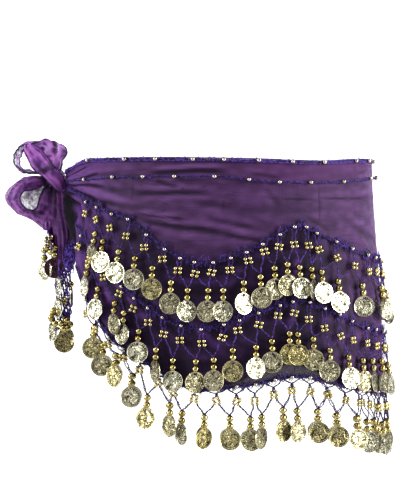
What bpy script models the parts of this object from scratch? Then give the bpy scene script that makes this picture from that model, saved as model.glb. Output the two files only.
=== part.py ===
"""Belly dance hip scarf, wound once round the hips and tied in a half bow at the wearer's right side.

Metres, +Z up. The origin is the centre of the waist opening at the height of the top edge. The front
faces -Y and the knot is at -X. Sizes below are in millimetres and degrees. Angles run round the figure
from the knot at 0, over the front at 90, the wearer's left side at 180 and the back at 270.
"""

import math
from collections import namedtuple

import bmesh
import bpy
from mathutils import Vector

MM = 0.001

# Walls of the cloth and of what is worked on it
CLOTH_WALL = 1.2
NET_WALL = 1.0
CORD_WALL = 1.5
FRINGE_WALL = 3.0
SEAM_GAP = 0.3

# How far the middle of each layer stands out from the middle of the cloth
CORD_OUT = CLOTH_WALL / 2 + 2 * SEAM_GAP + CORD_WALL / 2
NET_OUT = CORD_OUT + CORD_WALL / 2 + SEAM_GAP + NET_WALL / 2
FRINGE_OUT = NET_OUT + NET_WALL / 2 + 2 * SEAM_GAP + FRINGE_WALL / 2

# Heights of what is worked on the cloth
TOP_EDGING_HEIGHT = 4.5
WAIST_LINE_HEIGHT = 2.4
HEADING_HEIGHT = 3.0
NET_HEIGHT = 31.0
FRINGE_HEIGHT = 37.0
ROWS_OF_NET = 3

# Columns of faces round one half of the figure, closer together where the cloth is gathered
COLUMNS = 28
CLOSER_AT_KNOT = 1.35
CLOTH_ROWS = 9
FIRST_ANGLE = 4.0
SIDE_SEAM_ANGLE = 179.92
FIRST_HEADING_COLUMN = 2
FIRST_NET_COLUMN = 5
FIRST_FRINGE_COLUMN = 6

# A general figure as upright rings
Ring = namedtuple("Ring", "height half_width half_depth")
FIGURE = [
    Ring(-340, 170, 121),
    Ring(-250, 169, 121),
    Ring(-170, 168, 120),
    Ring(-110, 165, 117),
    Ring(-60, 161, 114),
    Ring(0, 158, 112),
    Ring(30, 156, 111),
]

# The wrap at some angles: how far it lifts off the figure, and the height of its edges and lines
Turn = namedtuple("Turn", "angle lift top waist row_1 row_2 row_3 hem")
WRAP = [
    Turn(4, 14, -13, -22, -28, -36, -42.5, -44),
    Turn(9, 8, -7, -22, -32, -56, -78.5, -80),
    Turn(16, 3, -2, -21, -37, -68, -115.5, -117),
    Turn(24, 1, 0, -21, -43, -80, -140.5, -142),
    Turn(31, 0, 0, -20, -49, -93, -158.5, -160),
    Turn(44, 0, 0, -19, -59, -119, -187.5, -189),
    Turn(53, 0, 0, -19, -66, -141, -201.5, -203),
    Turn(62, 0, 0, -19, -84, -157, -215.5, -217),
    Turn(70, 0, 0, -19, -99, -171, -230.5, -232),
    Turn(80, 0, 0, -19, -110, -178, -241, -242),
    Turn(91, 0, 0, -20, -105, -172, -239, -235),
    Turn(100, 0, 0, -23, -94, -163, -236, -226),
    Turn(110, 0, 0, -25, -79, -153, -230, -216),
    Turn(118, 0, 0, -25, -71, -149, -228, -216),
    Turn(126, 0, 0, -25, -79, -156, -231, -221),
    Turn(138, 0, 0, -24, -91, -168, -238.5, -237),
    Turn(150, 0, 0, -22, -100, -178, -243.5, -245),
    Turn(165, 0, 0, -19, -105, -183, -247.5, -249),
    Turn(180, 0, 0, -18, -108, -185, -248.5, -250),
    Turn(195, 0, 0, -19, -105, -185, -250.5, -252),
    Turn(210, 0, 0, -22, -100, -181, -249.5, -251),
    Turn(222, 0, 0, -24, -91, -172, -246, -244),
    Turn(234, 0, 0, -25, -78, -160, -239, -229),
    Turn(242, 0, 0, -25, -69, -153, -237, -224),
    Turn(250, 0, 0, -25, -78, -157, -240, -225),
    Turn(260, 0, 0, -23, -94, -168, -247, -236),
    Turn(269, 0, 0, -20, -106, -178, -250, -246),
    Turn(280, 0, 0, -19, -111, -184, -252, -253),
    Turn(290, 0, 0, -19, -99, -176, -240.5, -242),
    Turn(298, 0, 0, -19, -83, -161, -223.5, -225),
    Turn(307, 0, 0, -19, -64, -144, -207.5, -209),
    Turn(316, 0, 0, -19, -57, -120, -192.5, -194),
    Turn(329, 0, 0, -20, -47, -93, -160.5, -162),
    Turn(336, 1, 0, -21, -41, -80, -141.5, -143),
    Turn(344, 3, -2, -21, -36, -67, -115.5, -117),
    Turn(351, 8, -7, -22, -31, -56, -78.5, -80),
    Turn(356, 14, -13, -22, -28, -36, -42.5, -44),
]

# Gathers that fan out of the knot, and the slack of the hem
GATHER_DEPTH = 2.8
GATHERS_PER_TURN = 7
GATHER_NEAR = 14.0
GATHER_FAR = 95.0
HEM_SLACK = 2.2
HEM_WAVES = 9
HEM_SLACK_FROM = -120.0
HEM_SLACK_FULL = -230.0
ARC_PER_DEGREE = 2.35

# The knot: a bunched core, and the stretch that crosses over it from upper left to lower right
KNOT_CENTRE = Vector((-185, 0, -20))
KNOT_CORE_ACROSS = 12.0
KNOT_CORE_ALONG = 15.2
KNOT_TILT = 45
BAND_WALL = 3.0
BAND_HALF_WIDTH = 6.5

# The loops of the half bow, from the knot's centre: front hem, crest and back hem of each section
Section = namedtuple("Section", "front crest back")
UPPER_LOOP = [
    Section((-7.8, -6.8, 12.8), (0, -9, 14.6), (7, -6, 13.6)),
    Section((-19, -14, 21), (-5, -15, 24), (11, -5, 23)),
    Section((-28, -18, 30), (-9, -15, 33), (13, 3, 33)),
    Section((-30, -14, 37), (-12, -2, 42), (3, 12, 41)),
    Section((-35, -8, 37), (-27, 8, 42), (-16, 20, 41)),
    Section((-41, -10, 29), (-41, 8, 31), (-37, 26, 31)),
    Section((-42, -12, 19), (-43, 6, 20), (-40, 24, 20)),
    Section((-35, -12, 12), (-37, 5, 12), (-35, 22, 14)),
    Section((-24, -9, 10), (-25, 4, 9), (-25, 17, 12)),
    Section((-14.6, -5, 7), (-14.4, 1, 8.2), (-13.6, 6, 8)),
]
LOWER_LOOP = [
    Section((-11, -9, -4), (-13.6, -4, 3), (-13.5, 7, -1)),
    Section((-19, -25, -8), (-25, -6, 3), (-22, 16, -1)),
    Section((-28, -30, -9), (-37, -5, -2), (-30, 20, -5)),
    Section((-34, -31, -18), (-49, -3, -14), (-37, 22, -15)),
    Section((-33, -31, -27), (-51, -2, -24), (-36, 22, -26)),
    Section((-28, -30, -33), (-43, -4, -36), (-29, 19, -35)),
    Section((-19, -28, -32), (-27, -7, -45), (-19, 12, -36)),
    Section((-13, -23, -26), (-13, -10, -51), (-11, -1, -34)),
    Section((-10, -16, -18), (-6, -11, -36), (-7, -5, -24)),
    Section((-8, -8, -11), (-4, -5.6, -13.4), (-6, -2, -14)),
]
LOOP_COLUMNS = 27
LOOP_ROWS = 4

# The hanging end, from the knot's centre: its edges, its depth behind them and its pleats
Drop = namedtuple("Drop", "height left right depth pleat")
HANGING_END = [
    Drop(-101, -5, 19, 8, 5.0),
    Drop(-75, -6, 18, 8, 5.5),
    Drop(-50, -5, 17, 8, 4.5),
    Drop(-30, -3, 14, 7, 3.0),
    Drop(-16.5, -1, 9, 5, 1.0),
]
PLEATS = 2.5
END_COLUMNS = 20
END_ROWS = 6
HANGING_NET = [
    Drop(-141, -2, 18, 8, 2.0),
    Drop(-101.3, -3, 18, 8, 4.5),
]
HANGING_FRINGE = [
    Drop(-187, -5, 19, 8, 0.0),
    Drop(-141.4, -4, 19, 8, 0.0),
]
SIDE_FRINGE = [
    Drop(-108, -19, -6.7, 7, 0.0),
    Drop(-53.5, -15, -6.7, 7, 0.0),
]
HANGING_FRINGE_WALL = 6.0
SIDE_FRINGE_WALL = 3.0

# Material colours: base colour, metallic, roughness
Finish = namedtuple("Finish", "colour metallic roughness")
FINISHES = {
    "chiffon": Finish((0.12, 0.03, 0.17), 0.0, 0.75),
    "bow_chiffon": Finish((0.20, 0.04, 0.26), 0.0, 0.7),
    "crochet_thread": Finish((0.07, 0.03, 0.22), 0.0, 0.6),
    "coins": Finish((0.62, 0.52, 0.28), 1.0, 0.3),
}


def clear_scene():
    for old in list(bpy.data.objects):
        bpy.data.objects.remove(old, do_unlink=True)


def make_materials():
    for name, finish in FINISHES.items():
        material = bpy.data.materials.new(name)
        material.use_nodes = True
        shader = material.node_tree.nodes["Principled BSDF"]
        shader.inputs["Base Color"].default_value = (*finish.colour, 1)
        shader.inputs["Metallic"].default_value = finish.metallic
        shader.inputs["Roughness"].default_value = finish.roughness


def add_object(name, mesh, finish, collection):
    obj = bpy.data.objects.new(name, mesh)
    mesh.materials.append(bpy.data.materials[finish])
    collection.objects.link(obj)
    return obj


def eased(value):
    """0 to 1 with a soft start and end."""
    value = min(max(value, 0.0), 1.0)
    return value * value * (3 - 2 * value)


def between(before, low, high, after, part):
    """A point on a smooth curve from low to high, with its neighbours before and after."""
    return 0.5 * (
        2 * low
        + (high - before) * part
        + (2 * before - 5 * low + 4 * high - after) * part**2
        + (3 * low - before - 3 * high + after) * part**3
    )


def read(table, place):
    """The row of a table at a place in its first column, on a smooth curve through its rows."""
    place = min(max(place, table[0][0]), table[-1][0])
    last = len(table) - 1
    step = next(i for i in range(last) if place <= table[i + 1][0])
    low, high = table[step], table[step + 1]
    before, after = table[max(step - 1, 0)], table[min(step + 2, last)]
    width = high[0] - low[0]
    part = (place - low[0]) / width
    row = [place]
    for column in range(1, len(low)):
        climb_in = (high[column] - before[column]) / (high[0] - before[0]) * width
        climb_out = (after[column] - low[column]) / (after[0] - low[0]) * width
        rise = high[column] - low[column]
        bend = climb_in - rise
        unbend = rise - climb_out
        row.append(low[column] + rise * part + part * (1 - part) * (bend * (1 - part) + unbend * part))
    return type(low)(*row)


def fold(angle, height):
    """How far the cloth's folds stand out: gathers that fan out of the knot, and a slack hem."""
    from_knot = min(angle, 360 - angle) * ARC_PER_DEGREE
    bearing = math.atan2(height - KNOT_CENTRE.z, from_knot + GATHER_NEAR)
    fade = eased((from_knot - GATHER_NEAR / 2) / GATHER_NEAR) * eased(1 - from_knot / GATHER_FAR)
    gather = GATHER_DEPTH * fade * math.cos(GATHERS_PER_TURN * bearing)
    slack = eased((height - HEM_SLACK_FROM) / (HEM_SLACK_FULL - HEM_SLACK_FROM))
    away = eased(from_knot / GATHER_FAR)
    return gather + HEM_SLACK * slack * away * math.sin(math.radians(HEM_WAVES * angle))


def on_wrap(angle, height):
    """A point in the middle of the wrap's cloth, and the way out of the figure there."""
    ring = read(FIGURE, height)
    along_x, along_y = -math.cos(math.radians(angle)), -math.sin(math.radians(angle))
    outward = Vector((along_x / ring.half_width, along_y / ring.half_depth, 0)).normalized()
    point = Vector((ring.half_width * along_x, ring.half_depth * along_y, height))
    return point + outward * (read(WRAP, angle).lift + fold(angle, height)), outward


def on_panel(angle, height, out):
    """A point over the cloth's faces at one of its columns, moved out from the middle of the cloth."""
    turn = read(WRAP, angle)
    row_height = (turn.hem - turn.top) / CLOTH_ROWS
    row = (height - turn.top) / row_height
    upper = min(max(math.floor(row), 0), CLOTH_ROWS - 1)
    above, outward = on_wrap(angle, turn.top + upper * row_height)
    below, _ = on_wrap(angle, turn.top + (upper + 1) * row_height)
    point = above.lerp(below, min(max(row - upper, 0.0), 1.0))
    point.z = height
    return point + outward * out


def column_angle(side, column):
    """The angle of a column of the front, or of the same column counted back round the back."""
    share = (column / COLUMNS) ** CLOSER_AT_KNOT
    angle = FIRST_ANGLE + (SIDE_SEAM_ANGLE - FIRST_ANGLE) * share
    return angle if side == "front" else 360 - angle


def add_sheet(name, columns, rows, place, wall, finish, collection):
    """A wall: a grid whose points go to place(column, share down), given a thickness."""
    bm = bmesh.new()
    bmesh.ops.create_grid(bm, x_segments=columns, y_segments=rows, size=0.5)
    for vert in bm.verts:
        column = round((vert.co.x + 0.5) * columns)
        vert.co = place(column, 0.5 - vert.co.y) * MM
    mesh = bpy.data.meshes.new(name)
    bm.to_mesh(mesh)
    bm.free()
    mesh.shade_smooth()
    solidify = add_object(name, mesh, finish, collection).modifiers.new("Wall", "SOLIDIFY")
    solidify.thickness = wall * MM
    solidify.offset = 0


def add_wrap_piece(name, side, first, rows, edges, out, wall, finish, collection):
    """A piece of one half of the wrap. edges gives its top and bottom height from the wrap's row there."""

    def place(column, down):
        angle = column_angle(side, first + column)
        top, bottom = edges(read(WRAP, angle))
        return on_panel(angle, top + (bottom - top) * down, out)

    add_sheet(name + "_" + side, COLUMNS - first, rows, place, wall, finish, collection)


def add_cloth(side, collection):
    add_wrap_piece(
        "cloth", side, 0, CLOTH_ROWS, lambda turn: (turn.top, turn.hem), 0, CLOTH_WALL, "chiffon", collection
    )


def add_top_edging(side, collection):
    def edges(turn):
        bottom = turn.top + SEAM_GAP
        return bottom + TOP_EDGING_HEIGHT, bottom

    add_wrap_piece("top_edging", side, 0, 1, edges, 0, CORD_WALL, "crochet_thread", collection)


def add_waist_line(side, collection):
    def edges(turn):
        half = WAIST_LINE_HEIGHT / 2
        return turn.waist + half, turn.waist - half

    first = FIRST_HEADING_COLUMN
    add_wrap_piece("waist_line", side, first, 1, edges, CORD_OUT, CORD_WALL, "crochet_thread", collection)


def heading_height(turn, row):
    """The height of a row's heading. The last one is worked along the hem, and slung below it in places."""
    return (turn.row_1, turn.row_2, turn.row_3)[row - 1]


def add_row(row, side, collection):
    """One row of trimming: its heading on the cloth, its net and the reach of its beads and coins."""

    def heading(turn):
        middle = heading_height(turn, row)
        return middle + HEADING_HEIGHT / 2, middle - HEADING_HEIGHT / 2

    def net(turn):
        top = heading_height(turn, row)
        return top, top - NET_HEIGHT

    def fringe(turn):
        top = heading_height(turn, row) - NET_HEIGHT - SEAM_GAP
        return top, top - FRINGE_HEIGHT

    number = "_" + str(row)
    add_wrap_piece(
        "heading" + number, side, FIRST_HEADING_COLUMN, 1, heading, CORD_OUT, CORD_WALL,
        "crochet_thread", collection,
    )
    add_wrap_piece(
        "net" + number, side, FIRST_NET_COLUMN, 2, net, NET_OUT, NET_WALL,
        "crochet_thread", collection,
    )
    add_wrap_piece(
        "fringe" + number, side, FIRST_FRINGE_COLUMN, 1, fringe, FRINGE_OUT, FRINGE_WALL,
        "coins", collection,
    )


def add_knot(collection):
    """The core, and round its middle the band that ties it. Both turn with one empty."""
    knot = bpy.data.objects.new("knot", None)
    knot.location = KNOT_CENTRE * MM
    knot.rotation_euler.y = math.radians(KNOT_TILT)
    collection.objects.link(knot)

    bm = bmesh.new()
    bmesh.ops.create_uvsphere(bm, u_segments=16, v_segments=10, radius=1)
    reach = Vector((KNOT_CORE_ACROSS, KNOT_CORE_ACROSS, KNOT_CORE_ALONG)) * MM
    bmesh.ops.scale(bm, vec=reach, verts=bm.verts)
    mesh = bpy.data.meshes.new("knot_core")
    bm.to_mesh(mesh)
    bm.free()
    mesh.shade_smooth()
    add_object("knot_core", mesh, "bow_chiffon", collection).parent = knot

    half_wall = BAND_WALL / 2
    bpy.ops.mesh.primitive_torus_add(
        major_radius=(KNOT_CORE_ACROSS + SEAM_GAP + half_wall) * MM,
        minor_radius=half_wall * MM,
        major_segments=24,
        minor_segments=8,
    )
    torus = bpy.context.object
    mesh = torus.data
    mesh.name = "knot_band"
    for vert in mesh.vertices:
        vert.co.z *= BAND_HALF_WIDTH / half_wall
    mesh.shade_smooth()
    bpy.data.objects.remove(torus)
    add_object("knot_band", mesh, "bow_chiffon", collection).parent = knot


def add_loop(name, sections, collection):
    """A loop of the bow: a strip along its sections, bowed across from front hem to back hem."""
    last = len(sections) - 1

    def place(column, down):
        along = column / LOOP_COLUMNS * last
        step = min(int(along), last - 1)
        four = [sections[min(max(step + i, 0), last)] for i in (-1, 0, 1, 2)]
        front, crest, back = (
            between(*(Vector(section[edge]) for section in four), along - step) for edge in range(3)
        )
        bow = 2 * crest - (front + back) / 2
        return KNOT_CENTRE + front * (1 - down) ** 2 + bow * 2 * down * (1 - down) + back * down**2

    add_sheet(name, LOOP_COLUMNS, LOOP_ROWS, place, CLOTH_WALL, "bow_chiffon", collection)


def add_hanging(name, drops, columns, rows, wall, finish, collection):
    """A piece that hangs from the knot, pleated across."""

    def place(column, down):
        height = drops[-1].height + (drops[0].height - drops[-1].height) * down
        drop = read(drops, height)
        across = column / columns
        pleat = drop.pleat * math.sin(2 * math.pi * PLEATS * across)
        return KNOT_CENTRE + Vector(
            (drop.left + (drop.right - drop.left) * across, drop.depth + pleat, height)
        )

    add_sheet(name, columns, rows, place, wall, finish, collection)


def main():
    clear_scene()
    collection = bpy.data.collections.new("Hip scarf")
    bpy.context.scene.collection.children.link(collection)
    make_materials()
    for side in ("front", "back"):
        add_cloth(side, collection)
        add_top_edging(side, collection)
        add_waist_line(side, collection)
        for row in range(1, ROWS_OF_NET + 1):
            add_row(row, side, collection)
    add_knot(collection)
    add_loop("bow_loop_upper", UPPER_LOOP, collection)
    add_loop("bow_loop_lower", LOWER_LOOP, collection)
    add_hanging("hanging_end", HANGING_END, END_COLUMNS, END_ROWS, CLOTH_WALL, "bow_chiffon", collection)
    add_hanging("hanging_net", HANGING_NET, END_COLUMNS, 2, NET_WALL, "crochet_thread", collection)
    add_hanging("hanging_fringe", HANGING_FRINGE, 2, 1, HANGING_FRINGE_WALL, "coins", collection)
    add_hanging("hanging_side_fringe", SIDE_FRINGE, 2, 1, SIDE_FRINGE_WALL, "coins", collection)


main()
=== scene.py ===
"""Looks of the belly dance hip scarf: chiffon wound round the hips and tied in a half bow, with waved
rows of crocheted net that carry beads and stamped coins.

Sizes are in millimetres and degrees, in the frame of the CAD. Angles run round the figure from the knot
at 0, over the front at 90, the wearer's left side at 180 and the back at 270.
"""

import functools
import math
import random
from collections import namedtuple

import bmesh
import bpy
import numpy as np
from mathutils import Matrix, Vector, noise


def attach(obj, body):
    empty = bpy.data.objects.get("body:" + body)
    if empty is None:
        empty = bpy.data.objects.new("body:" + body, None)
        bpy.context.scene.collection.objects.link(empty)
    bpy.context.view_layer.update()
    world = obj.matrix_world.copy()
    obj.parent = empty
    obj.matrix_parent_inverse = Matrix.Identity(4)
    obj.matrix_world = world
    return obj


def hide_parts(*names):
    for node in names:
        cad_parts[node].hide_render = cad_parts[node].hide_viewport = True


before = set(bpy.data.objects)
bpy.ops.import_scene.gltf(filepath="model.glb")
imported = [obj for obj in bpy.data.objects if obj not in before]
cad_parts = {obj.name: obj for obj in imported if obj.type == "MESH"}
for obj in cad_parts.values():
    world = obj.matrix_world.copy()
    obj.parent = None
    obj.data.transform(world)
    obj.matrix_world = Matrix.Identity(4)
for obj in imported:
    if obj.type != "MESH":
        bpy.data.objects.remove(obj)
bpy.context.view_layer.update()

MM = 0.001


def table(columns, *rows):
    """Rows of numbers under the names of their columns."""
    row_of = namedtuple("Row", columns)
    return [row_of(*row) for row in rows]


# ---------------------------------------------------------------- sizes shared with the CAD

CLOTH_WALL = 1.2
CORD_WALL = 1.5
NET_WALL = 1.0
SEAM_GAP = 0.3
CORD_OUT = CLOTH_WALL / 2 + 2 * SEAM_GAP + CORD_WALL / 2
NET_OUT = CORD_OUT + CORD_WALL / 2 + SEAM_GAP + NET_WALL / 2
ARC_PER_DEGREE = 2.35

FIGURE = table(
    "height half_width half_depth",
    (-340, 170, 121),
    (-250, 169, 121),
    (-170, 168, 120),
    (-110, 165, 117),
    (-60, 161, 114),
    (0, 158, 112),
    (30, 156, 111),
)

# How far the cloth is lifted off the figure at each angle, and the heights of its edges and lines
WRAP = table(
    "angle lift top waist row_1 row_2 row_3 hem",
    (4, 14, -13, -22, -28, -36, -42.5, -44),
    (9, 8, -7, -22, -32, -56, -78.5, -80),
    (16, 3, -2, -21, -37, -68, -115.5, -117),
    (24, 1, 0, -21, -43, -80, -140.5, -142),
    (31, 0, 0, -20, -49, -93, -158.5, -160),
    (44, 0, 0, -19, -59, -119, -187.5, -189),
    (53, 0, 0, -19, -66, -141, -201.5, -203),
    (62, 0, 0, -19, -84, -157, -215.5, -217),
    (70, 0, 0, -19, -99, -171, -230.5, -232),
    (80, 0, 0, -19, -110, -178, -241, -242),
    (91, 0, 0, -20, -105, -172, -239, -235),
    (100, 0, 0, -23, -94, -163, -236, -226),
    (110, 0, 0, -25, -79, -153, -230, -216),
    (118, 0, 0, -25, -71, -149, -228, -216),
    (126, 0, 0, -25, -79, -156, -231, -221),
    (138, 0, 0, -24, -91, -168, -238.5, -237),
    (150, 0, 0, -22, -100, -178, -243.5, -245),
    (165, 0, 0, -19, -105, -183, -247.5, -249),
    (180, 0, 0, -18, -108, -185, -248.5, -250),
    (195, 0, 0, -19, -105, -185, -250.5, -252),
    (210, 0, 0, -22, -100, -181, -249.5, -251),
    (222, 0, 0, -24, -91, -172, -246, -244),
    (234, 0, 0, -25, -78, -160, -239, -229),
    (242, 0, 0, -25, -69, -153, -237, -224),
    (250, 0, 0, -25, -78, -157, -240, -225),
    (260, 0, 0, -23, -94, -168, -247, -236),
    (269, 0, 0, -20, -106, -178, -250, -246),
    (280, 0, 0, -19, -111, -184, -252, -253),
    (290, 0, 0, -19, -99, -176, -240.5, -242),
    (298, 0, 0, -19, -83, -161, -223.5, -225),
    (307, 0, 0, -19, -64, -144, -207.5, -209),
    (316, 0, 0, -19, -57, -120, -192.5, -194),
    (329, 0, 0, -20, -47, -93, -160.5, -162),
    (336, 1, 0, -21, -41, -80, -141.5, -143),
    (344, 3, -2, -21, -36, -67, -115.5, -117),
    (351, 8, -7, -22, -31, -56, -78.5, -80),
    (356, 14, -13, -22, -28, -36, -42.5, -44),
)

# How far the worn top edge has slipped down
TOP_SLIP = table(
    "angle fall",
    (0, 0), (12, 2.6), (60, 3.1), (95, 4.4), (128, 6.4), (152, 3.6), (180, 3.0),
    (208, 3.6), (232, 6.0), (265, 4.2), (300, 3.1), (348, 2.6), (360, 0),
)

# How far the hem and the third row are drawn up beside the knot, on both sides of it
HEM_RISE = table(
    "angle up",
    (0, 0), (5, 0), (9, 5), (16, 16), (24, 14.5), (31, 8), (44, 1), (53, 0), (180, 0),
)

# How far the cloth sags below the line of stitches where the hem is drawn up
HEM_SAG = 3.2

# Large gathers that fan out of the knot, and how far they reach
GATHER_DEPTH = 2.8
GATHERS_PER_TURN = 7
GATHER_NEAR = 14.0
GATHER_FAR = 95.0
# How slack the lower part is, in waves round the figure
HEM_SLACK = 2.2
HEM_WAVES = 9
HEM_SLACK_FROM = -120.0
HEM_SLACK_FULL = -230.0
# The fold that lies back between the hanging end and the front
DEEP_FOLD_ANGLE = 12.2
DEEP_FOLD_WIDTH = 7.0
DEEP_FOLD_END_ANGLE = 30
DEEP_FOLD_DEPTH = 7.5
DEEP_FOLD_TOP = -30.0
DEEP_FOLD_TOP_SOFT = 22
DEEP_FOLD_BOTTOM = -150.0
DEEP_FOLD_BOTTOM_SOFT = 25
# The place in that fold where little light gets in, painted nearly black as shadow: its edge by x, and its top
# and bottom
SHUT_IN_EDGE = -163.5
SHUT_IN_SLANT = 0.15
SHUT_IN_SLANT_HEIGHT = 50
SHUT_IN_SOFT = 7.0
SHUT_IN_TOP = -24.0
SHUT_IN_TOP_SOFT = 14
SHUT_IN_BOTTOM = -108.0
SHUT_IN_BOTTOM_SOFT = 22

KNOT_CENTRE = Vector((-185, 0, -20))
KNOT_CORE_ACROSS = 12.0
KNOT_CORE_ALONG = 15.2
KNOT_TILT = 45

# Places across a ribbon of cloth, from its first hem to its last, from the knot's centre
ACROSS = "hem inner outer back"
UPPER_LOOP = table(
    ACROSS,
    ((-7, -6, 5), (-2, -8, 7), (3, -7, 7), (7, -3, 5)),
    ((-13, -9, 13), (-6, -12, 15), (3, -11, 15), (9, -4, 12)),
    ((-20, -11, 22), (-10, -14, 24), (2, -13, 24), (10.5, -3, 19.5)),
    ((-26, -10, 31), (-14, -13, 33), (0, -11, 33), (13.5, -1, 29)),
    ((-30, -8, 37.5), (-18, -7, 40.5), (-3, -4, 41.5), (13.5, 4, 35.5)),
    ((-34, -8, 38), (-25, -1, 42), (-12, 7, 42.5), (2, 13, 39)),
    ((-39, -8, 34), (-35, 2, 38), (-28, 11, 39), (-18, 18, 38)),
    ((-42, -9, 26), (-41.5, 1, 28), (-40, 11, 29), (-37, 20, 29)),
    ((-41.5, -9, 17), (-42, 1, 18), (-41, 10, 18), (-39, 18, 18)),
    ((-36, -9, 10), (-37.5, 0, 10.5), (-37, 8, 11), (-34, 16, 12)),
    ((-27, -8, 6.5), (-28, -1, 7), (-27.5, 6, 7.5), (-25, 13, 9)),
    ((-16, -6, 6), (-16.5, -1, 6.5), (-16, 4, 7), (-15, 9, 8)),
    ((-7, -4, 3), (-7, -1, 3.5), (-7, 2, 4), (-6, 5, 4)),
)
FRONT_FOLD = table(
    ACROSS,
    ((-30, -6, 37), (-28, -5, 39), (-24, -4, 40.5), (-20, -3, 40.5)),
    ((-31, -13, 34.5), (-28.5, -15, 35.5), (-24.5, -15, 37), (-21.5, -11, 37.5)),
    ((-30, -17, 27), (-25.5, -21, 28.5), (-19, -21.5, 30.5), (-14, -16, 31.5)),
    ((-25.5, -18, 18.5), (-20, -22.5, 20.5), (-12, -23, 22.5), (-6.5, -17, 23.5)),
    ((-20.5, -17, 10), (-15, -20.5, 12), (-7, -21, 14.5), (-0.5, -15.5, 16)),
    ((-14.5, -13, 5.5), (-10, -16.5, 7), (-3, -17.5, 9.5), (3, -13, 11)),
    ((-9, -8, 1), (-6, -10, 2), (-1, -11, 4), (4, -9, 5)),
)
LOWER_LOOP = table(
    ACROSS,
    ((-6, -8, -3), (-7, -7, 0), (-7, -2, 2), (-6, 3, 0)),
    ((-14, -15, -8), (-16, -13, 1), (-18, -3, 4), (-19, 8, 0)),
    ((-22, -21, -11), (-27, -18, -1), (-31, -3, 2), (-34, 12, -5)),
    ((-31, -25, -13), (-39, -21, -6), (-43, -3, -5), (-42, 15, -8)),
    ((-35, -26, -19), (-46, -22, -15), (-51, -3, -16), (-46, 17, -14)),
    ((-34, -26, -26), (-45, -22, -27), (-50, -3, -26), (-46, 17, -20)),
    ((-29, -25, -32), (-37, -22, -34), (-41, -4, -34), (-43, 16, -25)),
    ((-22, -24, -34), (-26, -22, -40), (-29, -6, -41), (-40, 15, -27)),
    ((-17, -22.5, -31), (-15, -21, -44), (-18, -8, -47), (-37, 14, -26)),
    ((-15, -20, -25), (-7, -19, -43), (-9, -10, -52), (-40, 12, -16)),
    ((-13.5, -17, -18), (-2, -16, -33), (0, -10, -41), (-39, 11, -9)),
    ((-10, -13, -11), (-1, -12, -20), (2, -8, -25), (-29, 8, -5)),
    ((-5, -7, -6), (0, -8, -8), (2, -5, -9), (-6, 3, -6)),
)
CROSSING = table(
    ACROSS,
    ((-13, 3, 3), (-10, 1, 8), (-4, 0, 12), (2, 1, 12)),
    ((-14, -8, 6.5), (-10, -12, 9.5), (-3, -13, 12.5), (3.5, -8, 13)),
    ((-9.5, -14, 2), (-6, -18, 3.5), (1, -18.5, 6.5), (6.5, -13.5, 7.5)),
    ((-3.5, -16, -4), (0, -19.5, -3), (6, -19.5, 0), (10, -14, 2)),
    ((3, -14.5, -10), (5, -17, -9), (9, -17, -6), (12.3, -12, -4)),
    ((8, -9.5, -13), (9, -11, -12.5), (11.5, -11, -10.5), (12.8, -8, -8.5)),
    ((8.5, -1, -12.5), (10, -1, -12.5), (11.5, -1, -11), (12.5, -1, -9)),
)

DROPS = "height left right depth pleat"
HANGING_END = table(
    DROPS,
    (-101, -1.5, 19, 8, 4.0),
    (-75, -3, 22, 8, 4.5),
    (-50, -7, 21, 6, 2.8),
    (-30, -9, 17, 2, 1.6),
    (-14, -5, 12.5, -3, 1.0),
    (-4, -2, 8, -3, 0.5),
)
HANGING_NET = table(
    DROPS,
    (-152, 3, 17, 8, 2.0),
    (-118, 2, 18, 8, 3.5),
    (-97, 1, 17, 8, 3.5),
)
PLEATS = 2.2

# ---------------------------------------------------------------- creases of the wrap

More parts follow.
